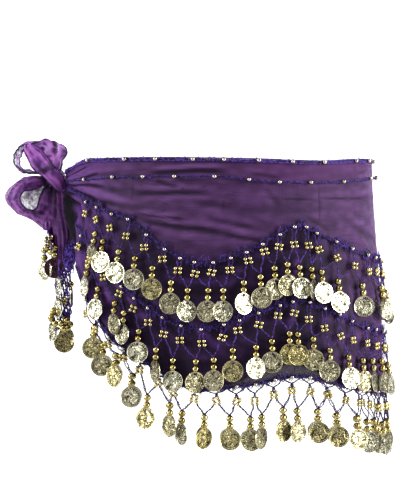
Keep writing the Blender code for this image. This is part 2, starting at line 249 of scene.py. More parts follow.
# Soft troughs (out below 0) and ridges from one place on the wrap to another
CREASES = table(
    "angle_a height_a angle_b height_b out width",
    (9, -30, 24, -74, -2.0, 3.0),
    (4, -22, 34, -15, -2.4, 1.7),
    (4, -26, 38, -29, -2.2, 1.8),
    (4, -29, 32, -41, -2.4, 1.9),
    (5, -32, 27, -54, -2.2, 2.0),
    (4, -19, 24, -7, -1.8, 1.6),
    (5, -34, 21, -66, -2.0, 2.2),
    # under the nets, out of the knot and down
    (9, -46, 19, -108, -1.9, 2.4),
    (12, -44, 27, -124, 1.7, 2.8),
    (16, -58, 38, -152, -1.7, 2.8),
    (21, -62, 47, -164, 1.5, 3.2),
    (28, -80, 57, -180, -1.4, 3.0),
    (36, -92, 66, -190, 1.2, 3.4),
    (44, -100, 80, -206, -1.2, 3.2),
    (58, -112, 92, -214, 1.0, 4.0),
    (100, -104, 84, -196, -1.0, 4.0),
    (118, -84, 112, -196, 1.0, 4.5),
    (136, -100, 146, -214, -1.0, 4.5),
    (351, -46, 341, -108, -1.9, 2.4),
    (348, -44, 333, -124, 1.7, 2.8),
    (344, -58, 322, -152, -1.7, 2.8),
    (339, -62, 313, -164, 1.5, 3.2),
    (332, -80, 303, -180, -1.4, 3.0),
    (300, -110, 268, -212, -1.0, 4.0),
    (246, -90, 250, -200, 1.0, 4.5),
    (216, -110, 200, -220, -1.0, 4.5),
    # long folds that the knot pulls across the front
    (7, -30, 52, -53, -1.6, 3.4),
    (50, -53, 78, -67, -1.9, 2.2),
    (46, -52, 74, -64, 0.9, 3.0),
    (10, -32, 50, -60, -1.2, 3.0),
    (50, -60, 94, -82, -1.5, 2.8),
    (52, -56, 72, -66, 0.8, 2.2),
    (12, -26, 52, -34, -0.8, 3.5),
    (50, -34, 86, -38, -1.5, 2.6),
    (61, -23, 73, -31, -0.9, 2.0),
    (30, -36, 58, -46, 0.7, 4.0),
    (88, -78, 104, -86, -1.1, 2.2),
    (66, -44, 96, -52, -0.6, 3.5),
    (80, -60, 104, -74, -0.7, 2.6),
    # the cloth stands over the second line like a lip
    (58, -14, 92, -15, -1.8, 3.0),
    (58, -9, 94, -9, 1.2, 3.4),
    (22, -16, 48, -14, -0.8, 3.0),
    (98, -17, 112, -20, -0.8, 2.0),
    # pressed lines where it lay folded
    (100, -43, 128, -42, -0.7, 0.9),
    (126, -42, 160, -40, -1.1, 1.0),
    (51.5, -24, 51.5, -46, -0.6, 0.8),
    (88.5, -42, 88.5, -60, -0.5, 0.8),
    (128, -26, 127, -70, -0.4, 0.9),
    # small slack near the peaks of the first row
    (104, -28, 112, -52, -0.5, 3.0),
    (120, -60, 134, -76, -0.6, 2.4),
    (136, -60, 168, -88, -0.7, 4.5),
    (150, -34, 176, -30, 0.6, 4.0),
    (140, -70, 160, -66, 0.5, 4.0),
    # hidden side, much the same
    (353, -30, 306, -52, -1.6, 3.4),
    (308, -53, 280, -68, -1.8, 2.4),
    (350, -32, 312, -58, -1.2, 3.0),
    (312, -58, 262, -80, -1.4, 2.8),
    (348, -26, 300, -36, -1.0, 3.2),
    (302, -34, 270, -40, -1.2, 2.8),
    (296, -14, 262, -15, -1.6, 3.0),
    (296, -9, 262, -9, 1.1, 3.4),
    (250, -44, 196, -42, -0.9, 1.0),
    (270, -22, 271, -60, -0.5, 0.8),
    (222, -30, 221, -66, -0.4, 0.9),
    (236, -60, 212, -48, -0.8, 4.0),
    (206, -70, 184, -88, -0.7, 4.0),
)
# How far a crease wanders from its line and over what length, and the share of it in which each end tapers
CREASE_WANDER, CREASE_WANDER_LENGTH, CREASE_TAPER = 1.3, 17, 0.3


# ---------------------------------------------------------------- the wrap's form

def soft(part):
    """A part from 0 to 1, with a soft start and end."""
    return part * part * (3 - 2 * part)


def eased(value):
    return soft(min(max(value, 0.0), 1.0))


def clipped(values):
    """An array's values, held between 0 and 1."""
    return np.clip(values, 0, 1)


def between(before, low, high, after, part):
    """A point on a smooth curve from low to high, with its neighbours before and after."""
    return 0.5 * (
        2 * low
        + (high - before) * part
        + (2 * before - 5 * low + 4 * high - after) * part**2
        + (3 * low - before - 3 * high + after) * part**3
    )


def read(rows, place):
    """A table at a place in its first column, on a smooth curve through its rows."""
    place = min(max(place, rows[0][0]), rows[-1][0])
    last = len(rows) - 1
    step = next(i for i in range(last) if place <= rows[i + 1][0])
    low, high = rows[step], rows[step + 1]
    before, after = rows[max(step - 1, 0)], rows[min(step + 2, last)]
    width = high[0] - low[0]
    part = (place - low[0]) / width
    row = [place]
    for column in range(1, len(low)):
        climb_in = (high[column] - before[column]) / (high[0] - before[0]) * width
        climb_out = (after[column] - low[column]) / (after[0] - low[0]) * width
        rise = high[column] - low[column]
        bend = climb_in - rise
        unbend = rise - climb_out
        row.append(low[column] + rise * part + part * (1 - part) * (bend * (1 - part) + unbend * part))
    return type(low)(*row)


def from_knot(angle):
    """How far round the cloth a place lies from the knot, in mm."""
    return np.minimum(angle, 360 - angle) * ARC_PER_DEGREE


@functools.lru_cache(maxsize=None)
def turn_at(angle):
    """The cloth's lift, edges and lines at an angle."""
    return read(WRAP, angle)


def top_of(turn):
    """The height of the cloth's top edge as it is worn."""
    return turn.top - read(TOP_SLIP, turn.angle).fall


def hem_rise(angle):
    """How far the hem is drawn up at an angle, on either side of the knot."""
    return max(0.0, read(HEM_RISE, min(angle, 360 - angle)).up)


def hem_of(turn):
    rise = hem_rise(turn.angle)
    return turn.hem + rise - HEM_SAG * eased(rise / HEM_SAG)


def row_3_of(turn):
    return turn.row_3 + hem_rise(turn.angle)


@functools.lru_cache(maxsize=None)
def ring_at(height):
    """Half the figure's width and depth at a height."""
    return read(FIGURE, height)


def fold(angle, height):
    """How far the cloth's folds stand out: gathers that fan out of the knot, and a slack hem."""
    arc = float(from_knot(angle))
    bearing = math.atan2(height - KNOT_CENTRE.z, arc + GATHER_NEAR)
    fade = eased((arc - GATHER_NEAR / 2) / GATHER_NEAR) * eased(1 - arc / GATHER_FAR)
    gather = GATHER_DEPTH * fade * math.cos(GATHERS_PER_TURN * bearing)
    slack = eased((height - HEM_SLACK_FROM) / (HEM_SLACK_FULL - HEM_SLACK_FROM))
    away = eased(arc / GATHER_FAR)
    return gather + HEM_SLACK * slack * away * math.sin(math.radians(HEM_WAVES * angle))


def deep_fold(angle, height):
    """The fold that lies back between the hanging end and the front."""
    if not 0 < angle < DEEP_FOLD_END_ANGLE:
        return 0.0
    across = (angle - DEEP_FOLD_ANGLE) * ARC_PER_DEGREE / DEEP_FOLD_WIDTH
    along = eased((DEEP_FOLD_TOP - height) / DEEP_FOLD_TOP_SOFT)
    along *= eased((height - DEEP_FOLD_BOTTOM) / DEEP_FOLD_BOTTOM_SOFT)
    return -DEEP_FOLD_DEPTH * math.exp(-(across**2)) * along


def outward_at(angle, height):
    """The level direction that leaves the figure at a place."""
    ring, turned = ring_at(round(height, 1)), math.radians(angle)
    return Vector((-math.cos(turned) / ring.half_width, -math.sin(turned) / ring.half_depth, 0)).normalized()


def wrap_point(angle, height, out=0.0):
    """A point of the wrap, moved out from the middle of its cloth."""
    ring, turned = ring_at(round(height, 1)), math.radians(angle)
    point = Vector((ring.half_width * -math.cos(turned), ring.half_depth * -math.sin(turned), height))
    lie = turn_at(round(angle, 2)).lift + fold(angle, height) + deep_fold(angle, height)
    return point + outward_at(angle, height) * (lie + out)


def creased(angles, heights):
    """How far the creases stand out at arrays of places on the wrap."""
    out = np.zeros_like(angles)
    for crease in CREASES:
        ax, az = crease.angle_a * ARC_PER_DEGREE, crease.height_a
        bx, bz = crease.angle_b * ARC_PER_DEGREE, crease.height_b
        run_x, run_z = bx - ax, bz - az
        length = math.hypot(run_x, run_z)
        px, pz = angles * ARC_PER_DEGREE - ax, heights - az
        along = (px * run_x + pz * run_z) / length
        across = (px * run_z - pz * run_x) / length
        wander = CREASE_WANDER * np.sin(along / CREASE_WANDER_LENGTH + crease.height_a)
        taper = soft(clipped(np.minimum(along, length - along) / (CREASE_TAPER * length)))
        out += crease.out * taper * np.exp(-(((across + wander) / crease.width) ** 2))
    return out


class Line:
    """A worked line round the wrap, from the knot over the front and the back to the knot again."""

    STEP = 0.5

    def __init__(self, height_of, start, end, out=CORD_OUT):
        self.out = out
        self.angles = np.arange(start, end + self.STEP, self.STEP)
        self.heights = np.array([height_of(turn_at(round(a, 2))) for a in self.angles])
        points = np.array([wrap_point(a, h, out) for a, h in zip(self.angles, self.heights)])
        steps = np.linalg.norm(np.diff(points, axis=0), axis=1)
        self.places = np.concatenate([[0], np.cumsum(steps)])
        self.length = float(self.places[-1])

    def at(self, place):
        """(angle, height) at a length along the line."""
        return (
            float(np.interp(place, self.places, self.angles)),
            float(np.interp(place, self.places, self.heights)),
        )

    def place_of(self, angle):
        return float(np.interp(angle, self.angles, self.places))

    def point(self, place, up=0.0, out=0.0):
        angle, height = self.at(place)
        return wrap_point(angle, height + up, self.out + out)


def angle_at(x, reach):
    """The angle on the front where a ring that reaches this far to each side is at this x."""
    return math.degrees(math.acos(max(-1.0, min(1.0, -x / reach))))


def angle_across(x, height, out=NET_OUT):
    """The angle on the front where something this far out of the wrap is at this x."""
    return angle_at(x, ring_at(round(height, 1)).half_width + out)


# ---------------------------------------------------------------- making pieces

def add_piece(name, mesh, material, nodes=()):
    """A finished piece at the origin that rides with the scarf."""
    obj = bpy.data.objects.new(name, mesh)
    mesh.materials.clear()
    mesh.materials.append(material)
    bpy.context.scene.collection.objects.link(obj)
    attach(obj, "root")
    if nodes:
        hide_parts(*nodes)
    return obj


def mesh_of(name, bm, smooth=False):
    for face in bm.faces if smooth else ():
        face.smooth = True
    mesh = bpy.data.meshes.new(name)
    bm.to_mesh(mesh)
    bm.free()
    return mesh


def cloth_mesh(name, points, size, wall, **tones):
    """A thin shell over a grid of points in mm, with a UV map of its flat size in metres and its tones."""
    columns, rows = points.shape[0] - 1, points.shape[1] - 1
    bm = bmesh.new()
    bmesh.ops.create_grid(bm, x_segments=columns, y_segments=rows, size=0.5)
    uv = bm.loops.layers.uv.new("flat")
    layers = {tone: bm.verts.layers.float.new(tone) for tone in tones}
    for vert in bm.verts:
        column, row = round((vert.co.x + 0.5) * columns), round((0.5 - vert.co.y) * rows)
        for loop in vert.link_loops:
            loop[uv].uv = (column / columns * size[0], (1 - row / rows) * size[1])
        for tone, layer in layers.items():
            vert[layer] = tones[tone][column, row]
        vert.co = points[column, row] * MM
    sheet = bpy.data.objects.new(name, mesh_of(name, bm, smooth=True))
    thicken = sheet.modifiers.new("Shell", "SOLIDIFY")
    thicken.thickness, thicken.offset = wall * MM, 0
    bpy.context.scene.collection.objects.link(sheet)
    mesh = bpy.data.meshes.new_from_object(sheet.evaluated_get(bpy.context.evaluated_depsgraph_get()))
    bpy.data.objects.remove(sheet)
    return mesh


def normals_of(points):
    """Unit normals of a grid of points."""
    along, down = np.gradient(points, axis=0), np.gradient(points, axis=1)
    normals = np.cross(along, down)
    return normals / np.maximum(np.linalg.norm(normals, axis=2, keepdims=True), 1e-9)


def thread_mesh(name, strands, radius, sides=0):
    """Threads as round strands. Each strand is a list of points in mm with a thickness each."""
    curve = bpy.data.curves.new(name, "CURVE")
    curve.dimensions = "3D"
    curve.bevel_depth = radius * MM
    curve.bevel_resolution = sides
    curve.use_fill_caps = True
    for strand in strands:
        spline = curve.splines.new("POLY")
        spline.points.add(len(strand) - 1)
        spline.points.foreach_set("co", [c for point, _ in strand for c in (*(point * MM), 1)])
        spline.points.foreach_set("radius", [thickness for _, thickness in strand])
    helper = bpy.data.objects.new(name, curve)
    mesh = bpy.data.meshes.new_from_object(helper)
    bpy.data.objects.remove(helper)
    bm = bmesh.new()
    bm.from_mesh(mesh)
    bmesh.ops.remove_doubles(bm, verts=bm.verts, dist=1e-7)
    bm.to_mesh(mesh)
    bm.free()
    mesh.shade_smooth()
    return mesh


def stitched(points, thick=1.0):
    """A strand that swells and narrows with each chain stitch."""
    return [(point, thick * (1.2 if i % 2 else 0.72)) for i, point in enumerate(points)]


def even(points, thick=1.0):
    return [(point, thick) for point in points]


class Stamped:
    """Many copies of a few small shapes, joined in one mesh."""

    def __init__(self):
        self.bm = bmesh.new()

    def add(self, shape, matrix, tone=0.5):
        copy = shape.copy()
        copy.transform(matrix)
        values = np.full(len(copy.vertices), tone, dtype=np.float32)
        copy.attributes["tone"].data.foreach_set("value", values)
        self.bm.from_mesh(copy)
        bpy.data.meshes.remove(copy)

    def mesh(self, name):
        return mesh_of(name, self.bm)


def small_shape(name, bm, smooth=True):
    mesh = mesh_of(name, bm, smooth)
    mesh.attributes.new("tone", "FLOAT", "POINT")
    return mesh


def bead_shape(radius, segments, rings):
    """A round bead."""
    bm = bmesh.new()
    bmesh.ops.create_uvsphere(bm, u_segments=segments, v_segments=rings, radius=radius * MM)
    return small_shape("bead", bm)


COIN_RADIUS = 11.2
COIN_RIM = 0.9
COIN_RIM_THICKER = 1.9
COIN_WALL = 0.5
COIN_DISH = 0.45
COIN_HOLE = 1.25
COIN_HOLE_UP = 8.4
COIN_SIDES = 20
COIN_SHARP_EDGE = 35


def coin_shape():
    """A thin stamped coin with a raised rim and a hole near its top. Its face looks along +Z."""
    bm = bmesh.new()
    uv = bm.loops.layers.uv.new("face")
    rings = [
        bmesh.ops.create_circle(bm, segments=COIN_SIDES, radius=radius)["verts"]
        for radius in (COIN_RADIUS, COIN_RADIUS - COIN_RIM)
    ]
    edges = [[e for e in bm.edges if all(v in ring for v in e.verts)] for ring in rings]
    bmesh.ops.bridge_loops(bm, edges=edges[0] + edges[1])
    hole = bmesh.ops.create_circle(
        bm, segments=8, radius=COIN_HOLE, matrix=Matrix.Translation((0, COIN_HOLE_UP, 0))
    )["verts"]
    around = [e for e in bm.edges if all(v in hole for v in e.verts)]
    bmesh.ops.triangle_fill(bm, use_beauty=True, use_dissolve=False, edges=edges[1] + around)
    for face in [f for f in bm.faces if all(v in hole for v in f.verts)]:
        bm.faces.remove(face)
    bmesh.ops.recalc_face_normals(bm, faces=bm.faces)
    bmesh.ops.solidify(bm, geom=bm.faces[:], thickness=COIN_WALL)
    bmesh.ops.translate(bm, vec=(0, 0, -sum(v.co.z for v in bm.verts) / len(bm.verts)), verts=bm.verts)
    for vert in bm.verts:
        rim = math.hypot(vert.co.x, vert.co.y) > COIN_RADIUS - COIN_RIM - 0.01
        vert.co.z *= COIN_RIM_THICKER if rim else 1.0
        # a thin stamped coin is a little dished
        vert.co.z += COIN_DISH * ((vert.co.x**2 + vert.co.y**2) / COIN_RADIUS**2 - 0.5)
    for face in bm.faces:
        for loop in face.loops:
            loop[uv].uv = (0.5 + loop.vert.co.x / 2 / COIN_RADIUS, 0.5 + loop.vert.co.y / 2 / COIN_RADIUS)
    for edge in bm.edges:
        edge.smooth = edge.calc_face_angle(0) < math.radians(COIN_SHARP_EDGE)
    bmesh.ops.scale(bm, vec=(MM, MM, MM), verts=bm.verts)
    return small_shape("coin", bm)


# ---------------------------------------------------------------- the wrap

WRAP_COLUMNS = 430
WRAP_ROWS = 90
# The rows of the grid lie closer together near the top edge
WRAP_TOP_CLOSER = 1.2
WRAP_WALL = 0.5
WRAP_UV = (0.87, 0.22)
SHEER_HEM = 0.42
SCALLOP = 1.2
SCALLOPS = 50
# How far a crease stands in or out where its painted shade or painted highlight is full
TROUGH_FULL = 0.65
RIDGE_FULL = 0.6
# How far from the knot light is painted on the cloth
SIDE_LIGHT_REACH = 125
# The wearer's left side, where light is painted on the cloth: angles where its light starts and ends, where it is
# lightest and how far that reaches
LIT_FROM, LIT_TO, LIT_SOFT = 124, 236, 22
GLOW_MIDDLE, GLOW_REACH, GLOW = 182, 32, 0.4
# Where the small gathers start, how softly, and where they end, from the knot
FINE_START, FINE_SOFT, FINE_END = 6, 12, 75
FINE_GATHERS = table(
    "depth count shift",
    (1.7, 16, 0.6),
    (1.0, 29, 2.0),
)
# How uneven cloth is on a soft body: how deep, and over what length and height
UNEVEN = table(
    "depth length height seed",
    (0.75, 34, 15, 0.3),
    (0.3, 11, 7, 4.1),
)
# How a row's heading pulls at the cloth: how deep, over what length and how far up and down
PULL_DEPTH, PULL_LENGTH, PULL_HEIGHT = 0.5, 4.5, 6


def add_wrap(material):
    """The cloth round the hips, with a tone for each thing that changes its colour."""
    angles = np.linspace(WRAP[0].angle, WRAP[-1].angle, WRAP_COLUMNS + 1)
    shares = np.linspace(0, 1, WRAP_ROWS + 1) ** WRAP_TOP_CLOSER
    points = np.zeros((WRAP_COLUMNS + 1, WRAP_ROWS + 1, 3))
    outs = np.zeros_like(points)
    grid_angles = np.repeat(angles[:, None], WRAP_ROWS + 1, axis=1)
    heights = np.zeros((WRAP_COLUMNS + 1, WRAP_ROWS + 1))
    band, under, shade, solid = (np.zeros_like(heights) for _ in range(4))
    for i, angle in enumerate(angles):
        turn = turn_at(round(angle, 2))
        scallop = SCALLOP * math.cos(math.radians(angle) * SCALLOPS)
        top, hem = top_of(turn), hem_of(turn)
        # where the third row hangs below the hem, a sheer strip of cloth reaches down to it
        end = min(hem, row_3_of(turn) - 0.8)
        for j, share in enumerate(shares):
            height = top + (end + scallop - top) * share
            heights[i, j] = height
            points[i, j] = wrap_point(angle, height)
            outs[i, j] = outward_at(angle, height)
            # the single band over the second line is pinkest past the middle of the front
            band[i, j] = eased((height - turn.waist + 2) / 3) * (0.3 + 0.7 * eased((angle - 85) / 30))
            # painted shade from the nets: a little darker over the first heading, much darker below it, and less
            # dark where light falls on the wearer's left side
            under[i, j] = max(
                eased((turn.row_1 + 4 - height) / 7), 0.22 * eased((turn.row_1 + 26 - height) / 26)
            ) * (1 - 0.6 * lit_side(angle))
            shade[i, j] = shut_in(points[i, j])
            solid[i, j] = 1 - SHEER_HEM * eased((hem + 1.5 - height) / 3) * eased((hem - end) / 2)
    small = creased(grid_angles, heights) + fine_gathers(grid_angles, heights) + slack(grid_angles, heights)
    points += outs * small[:, :, None]
    large = [[fold(a, h) for a, h in zip(*lane)] for lane in zip(grid_angles, heights)]
    folds = small + np.array(large)
    # painted shade in the hollows of the folds and creases, and painted highlights on their ridges
    hollow = smoothed(folds, 3) - folds
    # painted light: brighter and more violet near the knot and on the wearer's left side, where the side lamps
    # fall
    glow = clipped(1 - np.abs(grid_angles - GLOW_MIDDLE) / GLOW_REACH)
    mesh = cloth_mesh(
        "wrap", points, WRAP_UV, WRAP_WALL,
        band=band, under_net=under, shut_in=shade, solid=solid,
        gathered=np.maximum(clipped(1 - from_knot(grid_angles) / SIDE_LIGHT_REACH), GLOW * glow),
        trough=clipped(hollow / TROUGH_FULL), ridge=clipped(-hollow / RIDGE_FULL),
    )
    return add_piece("wrap", mesh, material, ("cloth_front", "cloth_back"))


def lit_side(angle):
    """Where light falls on the wearer's left side, so that less shade is painted under the nets there."""
    return eased((angle - LIT_FROM) / LIT_SOFT) * eased((LIT_TO - angle) / LIT_SOFT)


def shut_in(point):
    """How far a place lies in the deep fold beside the knot, where little light gets in and a nearly black shadow
    is painted.
    """
    x, _, height = point
    below = min(max(SHUT_IN_TOP - SHUT_IN_TOP_SOFT - height, 0), SHUT_IN_SLANT_HEIGHT)
    beside = eased(0.5 + (SHUT_IN_EDGE + SHUT_IN_SLANT * below - x) / SHUT_IN_SOFT)
    under_top = eased((SHUT_IN_TOP - height) / SHUT_IN_TOP_SOFT)
    return beside * under_top * eased((height - SHUT_IN_BOTTOM) / SHUT_IN_BOTTOM_SOFT)


def smoothed(values, reach):
    """A grid of values averaged over its neighbours."""
    for axis in (0, 1):
        edges = [(reach, reach) if i == axis else (0, 0) for i in range(values.ndim)]
        padded = np.pad(values, edges, mode="edge")
        values = sum(
            np.take(padded, np.arange(values.shape[axis]) + step, axis=axis) for step in range(2 * reach + 1)
        ) / (2 * reach + 1)
    return values


def fine_gathers(angles, heights):
    """Small gathers between the large ones, near the knot."""
    arcs = from_knot(angles)
    bearing = np.arctan2(heights - KNOT_CENTRE.z, arcs + GATHER_NEAR)
    near = clipped(1 - arcs / FINE_END) ** 1.3 * clipped((arcs - FINE_START) / FINE_SOFT)
    return near * sum(fine.depth * np.cos(fine.count * bearing + fine.shift) for fine in FINE_GATHERS)


def slack(angles, heights):
    """The slight unevenness of cloth that lies on a soft body, and the pull of each row's heading."""
    out = np.zeros_like(angles)
    for i in range(angles.shape[0]):
        turn = turn_at(round(float(angles[i, 0]), 2))
        arc = angles[i, 0] * ARC_PER_DEGREE
        for j, height in enumerate(heights[i]):
            for wave in UNEVEN:
                place = Vector((arc / wave.length, height / wave.height, wave.seed))
                out[i, j] += wave.depth * noise.noise(place)
            for line in (turn.row_1, turn.row_2):
                pull = math.exp(-(((height - line) / PULL_HEIGHT) ** 2))
                out[i, j] += pull * PULL_DEPTH * noise.noise(Vector((arc / PULL_LENGTH, line, 1.7)))
    return out


# ---------------------------------------------------------------- crochet

THREAD = 0.72
CHAIN = 0.66
STITCH = 1.25
# How far two strands wind round each other with each stitch, in radians
TWIST = 1.15
# A picot's outline, by how far up and across it each point is, and how thick its thread is
PICOT = ((0, -0.3), (0.3, -0.5), (0.7, -0.42), (0.95, -0.16), (0.97, 0.14), (0.72, 0.42), (0.3, 0.5), (0, 0.28))
PICOT_THICK = 0.62
PICOT_LEANS_OUT = 0.9
# A doubled thread: how far its strands stand aside, up and out where they wind, and how it sways on its way
WOUND_ASIDE, WOUND_UP, WOUND_OUT = 0.55, 0.3, 0.35
SWAY, SWAYS = 0.5, 9


def plait(line, start, end, middle_up, swing, period, strands, out=0.0, depth=0.5, seed=0.0, thick=1.0):
    """Strands that cross over each other along a line."""
    made = []
    count = max(3, int((end - start) / STITCH))
    for k in range(strands):
        strand = []
        for i in range(count + 1):
            place = start + (end - start) * i / count
            phase = 2 * math.pi * (place / period + k / strands)
            wander = (0.2 + 0.3 * swing) * noise.noise(Vector((place / 9, k * 7.3, seed)))
            strand.append(
                line.point(
                    place,
                    up=middle_up + swing * math.sin(phase) + wander,
                    out=out + depth * math.cos(2 * phase if strands == 2 else phase),
                )
            )
        made.append(stitched(strand, thick))
    return made


def picot(line, place, height, lean, width, out=0.3):
    """A small open loop of thread that stands up from a line."""
    points = [
        line.point(place + lean * up + width * across, up=height * up, out=out + PICOT_LEANS_OUT * up)
        for up, across in PICOT
    ]
    return even(points, PICOT_THICK)


def hanging_threads(start, end, sag, rng, thick=0.56):
    """Two strands wound round each other between two places (angle, height, out), with a little sag."""
    first, last = wrap_point(*start), wrap_point(*end)
    count = max(4, int((last - first).length / STITCH))
    phase = rng.uniform(0, 6.28)
    made = []
    for side in (-1, 1):
        points = []
        for i in range(count + 1):
            part = i / count
            angle, height, out = (a + (b - a) * part for a, b in zip(start, end))
            arch = 4 * part * (1 - part)
            sway = SWAY * math.sin(part * SWAYS + phase) * arch
            wound = side * min(1.0, 3 * arch) * math.cos(part * count * TWIST + phase)
            points.append(
                wrap_point(
                    angle + (sway + WOUND_ASIDE * wound) / ARC_PER_DEGREE, height - sag * arch + WOUND_UP * wound,
                    out + WOUND_OUT * side * math.sin(part * count * TWIST + phase),
                )
            )
        made.append(stitched(points, thick))
    return made


def upright_at(angle, height, out, turn=0.0, tilt=0.0, spin=0.0):
    """Where a small shape hangs: its Z looks out of the wrap and its Y up, then it is turned."""
    outward = outward_at(angle, height)
    across = Vector((0, 0, 1)).cross(outward)
    facing = Matrix((across, Vector((0, 0, 1)), outward)).transposed().to_4x4()
    place = Matrix.Translation(wrap_point(angle, height, out) * MM)
    turned = Matrix.Rotation(math.radians(turn), 4, "Y") @ Matrix.Rotation(math.radians(tilt), 4, "X")
    return place @ facing @ turned @ Matrix.Rotation(math.radians(spin), 4, "Z")


# ---------------------------------------------------------------- rows of beads and coins

# Each stitch of a row: its cluster of beads at x and how far it lies below the heading, the top bead of the
# drop beside it at x and z, how far its coin turns from facing out, and how dull the coin is
STITCHES = "cluster below drop height turn dull"
ROW_1 = table(
    STITCHES,
    (-148, 9, -142, -79, 60, 0.60),
    (-136, 10, -133, -87, 32, 0.03),
    (-121, 13, -116, -98, 29, 0.20),
    (-104, 16, -98, -105, 0, 0.35),
    (-85, 13, -79, -115, -12, 0.45),
    (-66, 11, -59, -130, 0, 0.60),
    (-50, 14, -41, -138, 24, 0.18),
    (-32, 11, -19, -138, -8, 0.60),
    (-15, 10, -3, -138, 20, 0.25),
    (4, 12, 19, -130, 36, 0.00),
    (23, 10, 37, -124, 0, 0.60),
    (40, 9, 52, -115, -20, 0.55),
    (55, 12, 66, -111, -24, 0.70),
    (71, 17, 79, -114, 22, 0.10),
    (86, 19, 92, -116, 72, 0.30),
    (97, 18, 103, -119, 30, 0.00),
    (116, 18, 121, -129, 28, 0.00),
    (135, 18, 148, -134, -6, 0.30),
    (151, 18, 169.5, -137, 66, 0.70),
)
ROW_2 = table(
    STITCHES,
    (-153, 8, -149, -113, 67, 0.30),
    (-143, 9, -138, -137, 44, 0.10),
    (-128, 11, -119, -152, 56, 0.60),
    (-111, 9, -109, -162, 51, 0.35),
    (-96, 11, -93, -181, -6, 0.20),
    (-81, 15, -75, -200, 62, 0.60),
    (-65, 16, -57, -211, 20, 0.20),
    (-48, 15, -32, -212, 25, 0.70),
    (-25, 15, -13, -210, -15, 0.60),
    (-4, 13, 7, -200, 0, 0.45),
    (12, 10, 32, -197, 28, 0.15),
    (34, 12, 49, -191, 0, 0.55),
    (54, 10, 68, -183, -10, 0.75),
    (71, 12, 77, -184, 14, 0.75),
    (86, 18, 93, -189, 0, 0.50),
    (102, 21, 110, -201, -5, 0.60),
    (119, 22, 131, -209, 26, 0.05),
    (133, 20, 149, -213, 45, 0.50),
    (150, 16, 160, -214, 70, 0.10),
)
ROW_3 = table(
    STITCHES,
    (-147, 6, -141, -178, 10, 0.40),
    (-137, 8, -131, -196, 0, 0.50),
    (-123, 8, -117, -207, 45, 0.40),
    (-107, 10, -100, -228, 5, 0.35),
    (-90, 12, -84, -250, 30, 0.45),
    (-71, 12, -60, -258, 50, 0.50),
    (-55, 13, -47, -266, 60, 0.60),
    (-33, 10, -23, -270, 60, 0.85),
    (-10, 12, 4, -271, 0, 0.40),
    (11, 15, 26, -272, 15, 0.50),
    (30, 17, 38, -270, 70, 0.60),
    (50, 15, 61, -263, 42, 0.45),
    (69, 14, 76, -264, 46, 0.50),
    (88, 15, 98, -265, 6, 0.45),
    (106, 15, 118, -270, -12, 0.45),
    (125, 16, 141, -274, 30, 0.50),
    (142, 15, 154, -278, 12, 0.35),
)

# The three rows: how far out the coins hang, how thick the threads are, how many picots stand by a stitch, and
# how far over a cluster the net is tied where it hangs open
ROWS = table(
    "number line pitches start end coin_out thick picots open_over",
    (1, lambda turn: turn.row_1, ROW_1, 7.0, 353.0, 9.0, 0.55, 4, 0),
    (2, lambda turn: turn.row_2, ROW_2, 14.5, 345.5, 8.4, 0.55, 4, 0),
    (3, row_3_of, ROW_3, 20.0, 340.0, 7.0, 0.64, 1, 8),
)
# A height among the nets, by which a stitch's place along its heading is found
AMONG_NETS = -150
# From a drop's top bead to the middle of the drop
DROP_MIDDLE = 20
# How far a heading bead stands beside its cluster, in degrees, and how far a cluster is turned
BEAD_BESIDE = (-0.6, 0.9)
CLUSTER_SPIN = (-22, 22)
# How much more worn a hidden coin is than its fellow on the front, up to the dullest
HIDDEN_WEAR = (0.15, 0.5)
DULLEST_HIDDEN = 0.8
# The stitches at the wearer's left side: their pitch, how far below the heading their clusters and drops are,
# and how far their coins turn and how dull those are
SIDE_PITCH = 17.5
SIDE_CLUSTER_BELOW, SIDE_DROP_BELOW = (14, 18), (32, 36)
SIDE_TURN, SIDE_DULL = (-24, 30), (0.05, 0.6)
# Where the camera stands
EYE_X, EYE_AWAY, EYE_HEIGHT = -26.0, 3200.0, -96.0
# From one bead of a drop to the next, and from its top bead to the middle of its coin
BEAD_GAP = 7.6
COIN_BELOW = 21.6
CLUSTER_BEAD = 2.25
CLUSTER_STEP = 4.2
CLUSTER_OUT = 2.0
LINE_BEAD = 2.35
DROP_BEAD = 3.75
# How far a drop's top bead lies behind its coin, how far the next one is in front of it, and how they tilt
BEADS_BEHIND, BEAD_STEPS_OUT, BEAD_TILT = 2.6, 1.0, 25
# The tone of a silvered bead, where gilt ones run from 0 to 1, and how those of a cluster start and spread
SILVERED = 1.9
CLUSTER_TONE, CLUSTER_TONE_SPREAD = 0.75, 0.6
HEADING_BEAD_OUT = 5.0
# How far from a cluster's middle its two threads pass
THREAD_ASIDE = 1.1
# How far a coin turns from facing out, and how far it leans back: a dull one less
FURTHEST_TURN = 48.0
LEAN_BACK = 6.5
DULL_LEANS_LESS = 14.0

# The picots over and under a heading bead: how far beside it they stand, how low and high, their lean and width
PICOT_OVER, PICOT_UNDER = table("beside low high lean widest", (7, 4.0, 9.5, 3.5, 4.2), (8, -2.5, -5.5, 2, 4.0))
PICOTS_UNDER = 3

# A stitch wherever it lies: its heading bead, its cluster and its drop, by angle
Stitch = namedtuple("Stitch", "bead cluster cluster_height drop drop_height turn dull spin")


def straight_behind(angle, height):
    """The place on the hidden side that lies behind one on the front, for an eye level with the scarf."""
    ring = ring_at(round(height, 1))
    near = ring.half_depth * math.sin(math.radians(angle))
    away = (EYE_AWAY + near) / (EYE_AWAY - near)
    x = EYE_X + (-ring.half_width * math.cos(math.radians(angle)) - EYE_X) * away
    return 360 - angle_at(x, ring.half_width), EYE_HEIGHT + (height - EYE_HEIGHT) * away


def turned_from_outward(angle, height, turn):
    """A coin's turn from straight out of the scarf, given how far it turns from straight ahead."""
    outward = outward_at(angle, height)
    bearing = math.degrees(math.atan2(outward.x, -outward.y))
    wanted = math.copysign(turn, bearing) if abs(bearing) > 10 else turn
    return max(-FURTHEST_TURN, min(FURTHEST_TURN, wanted - bearing))


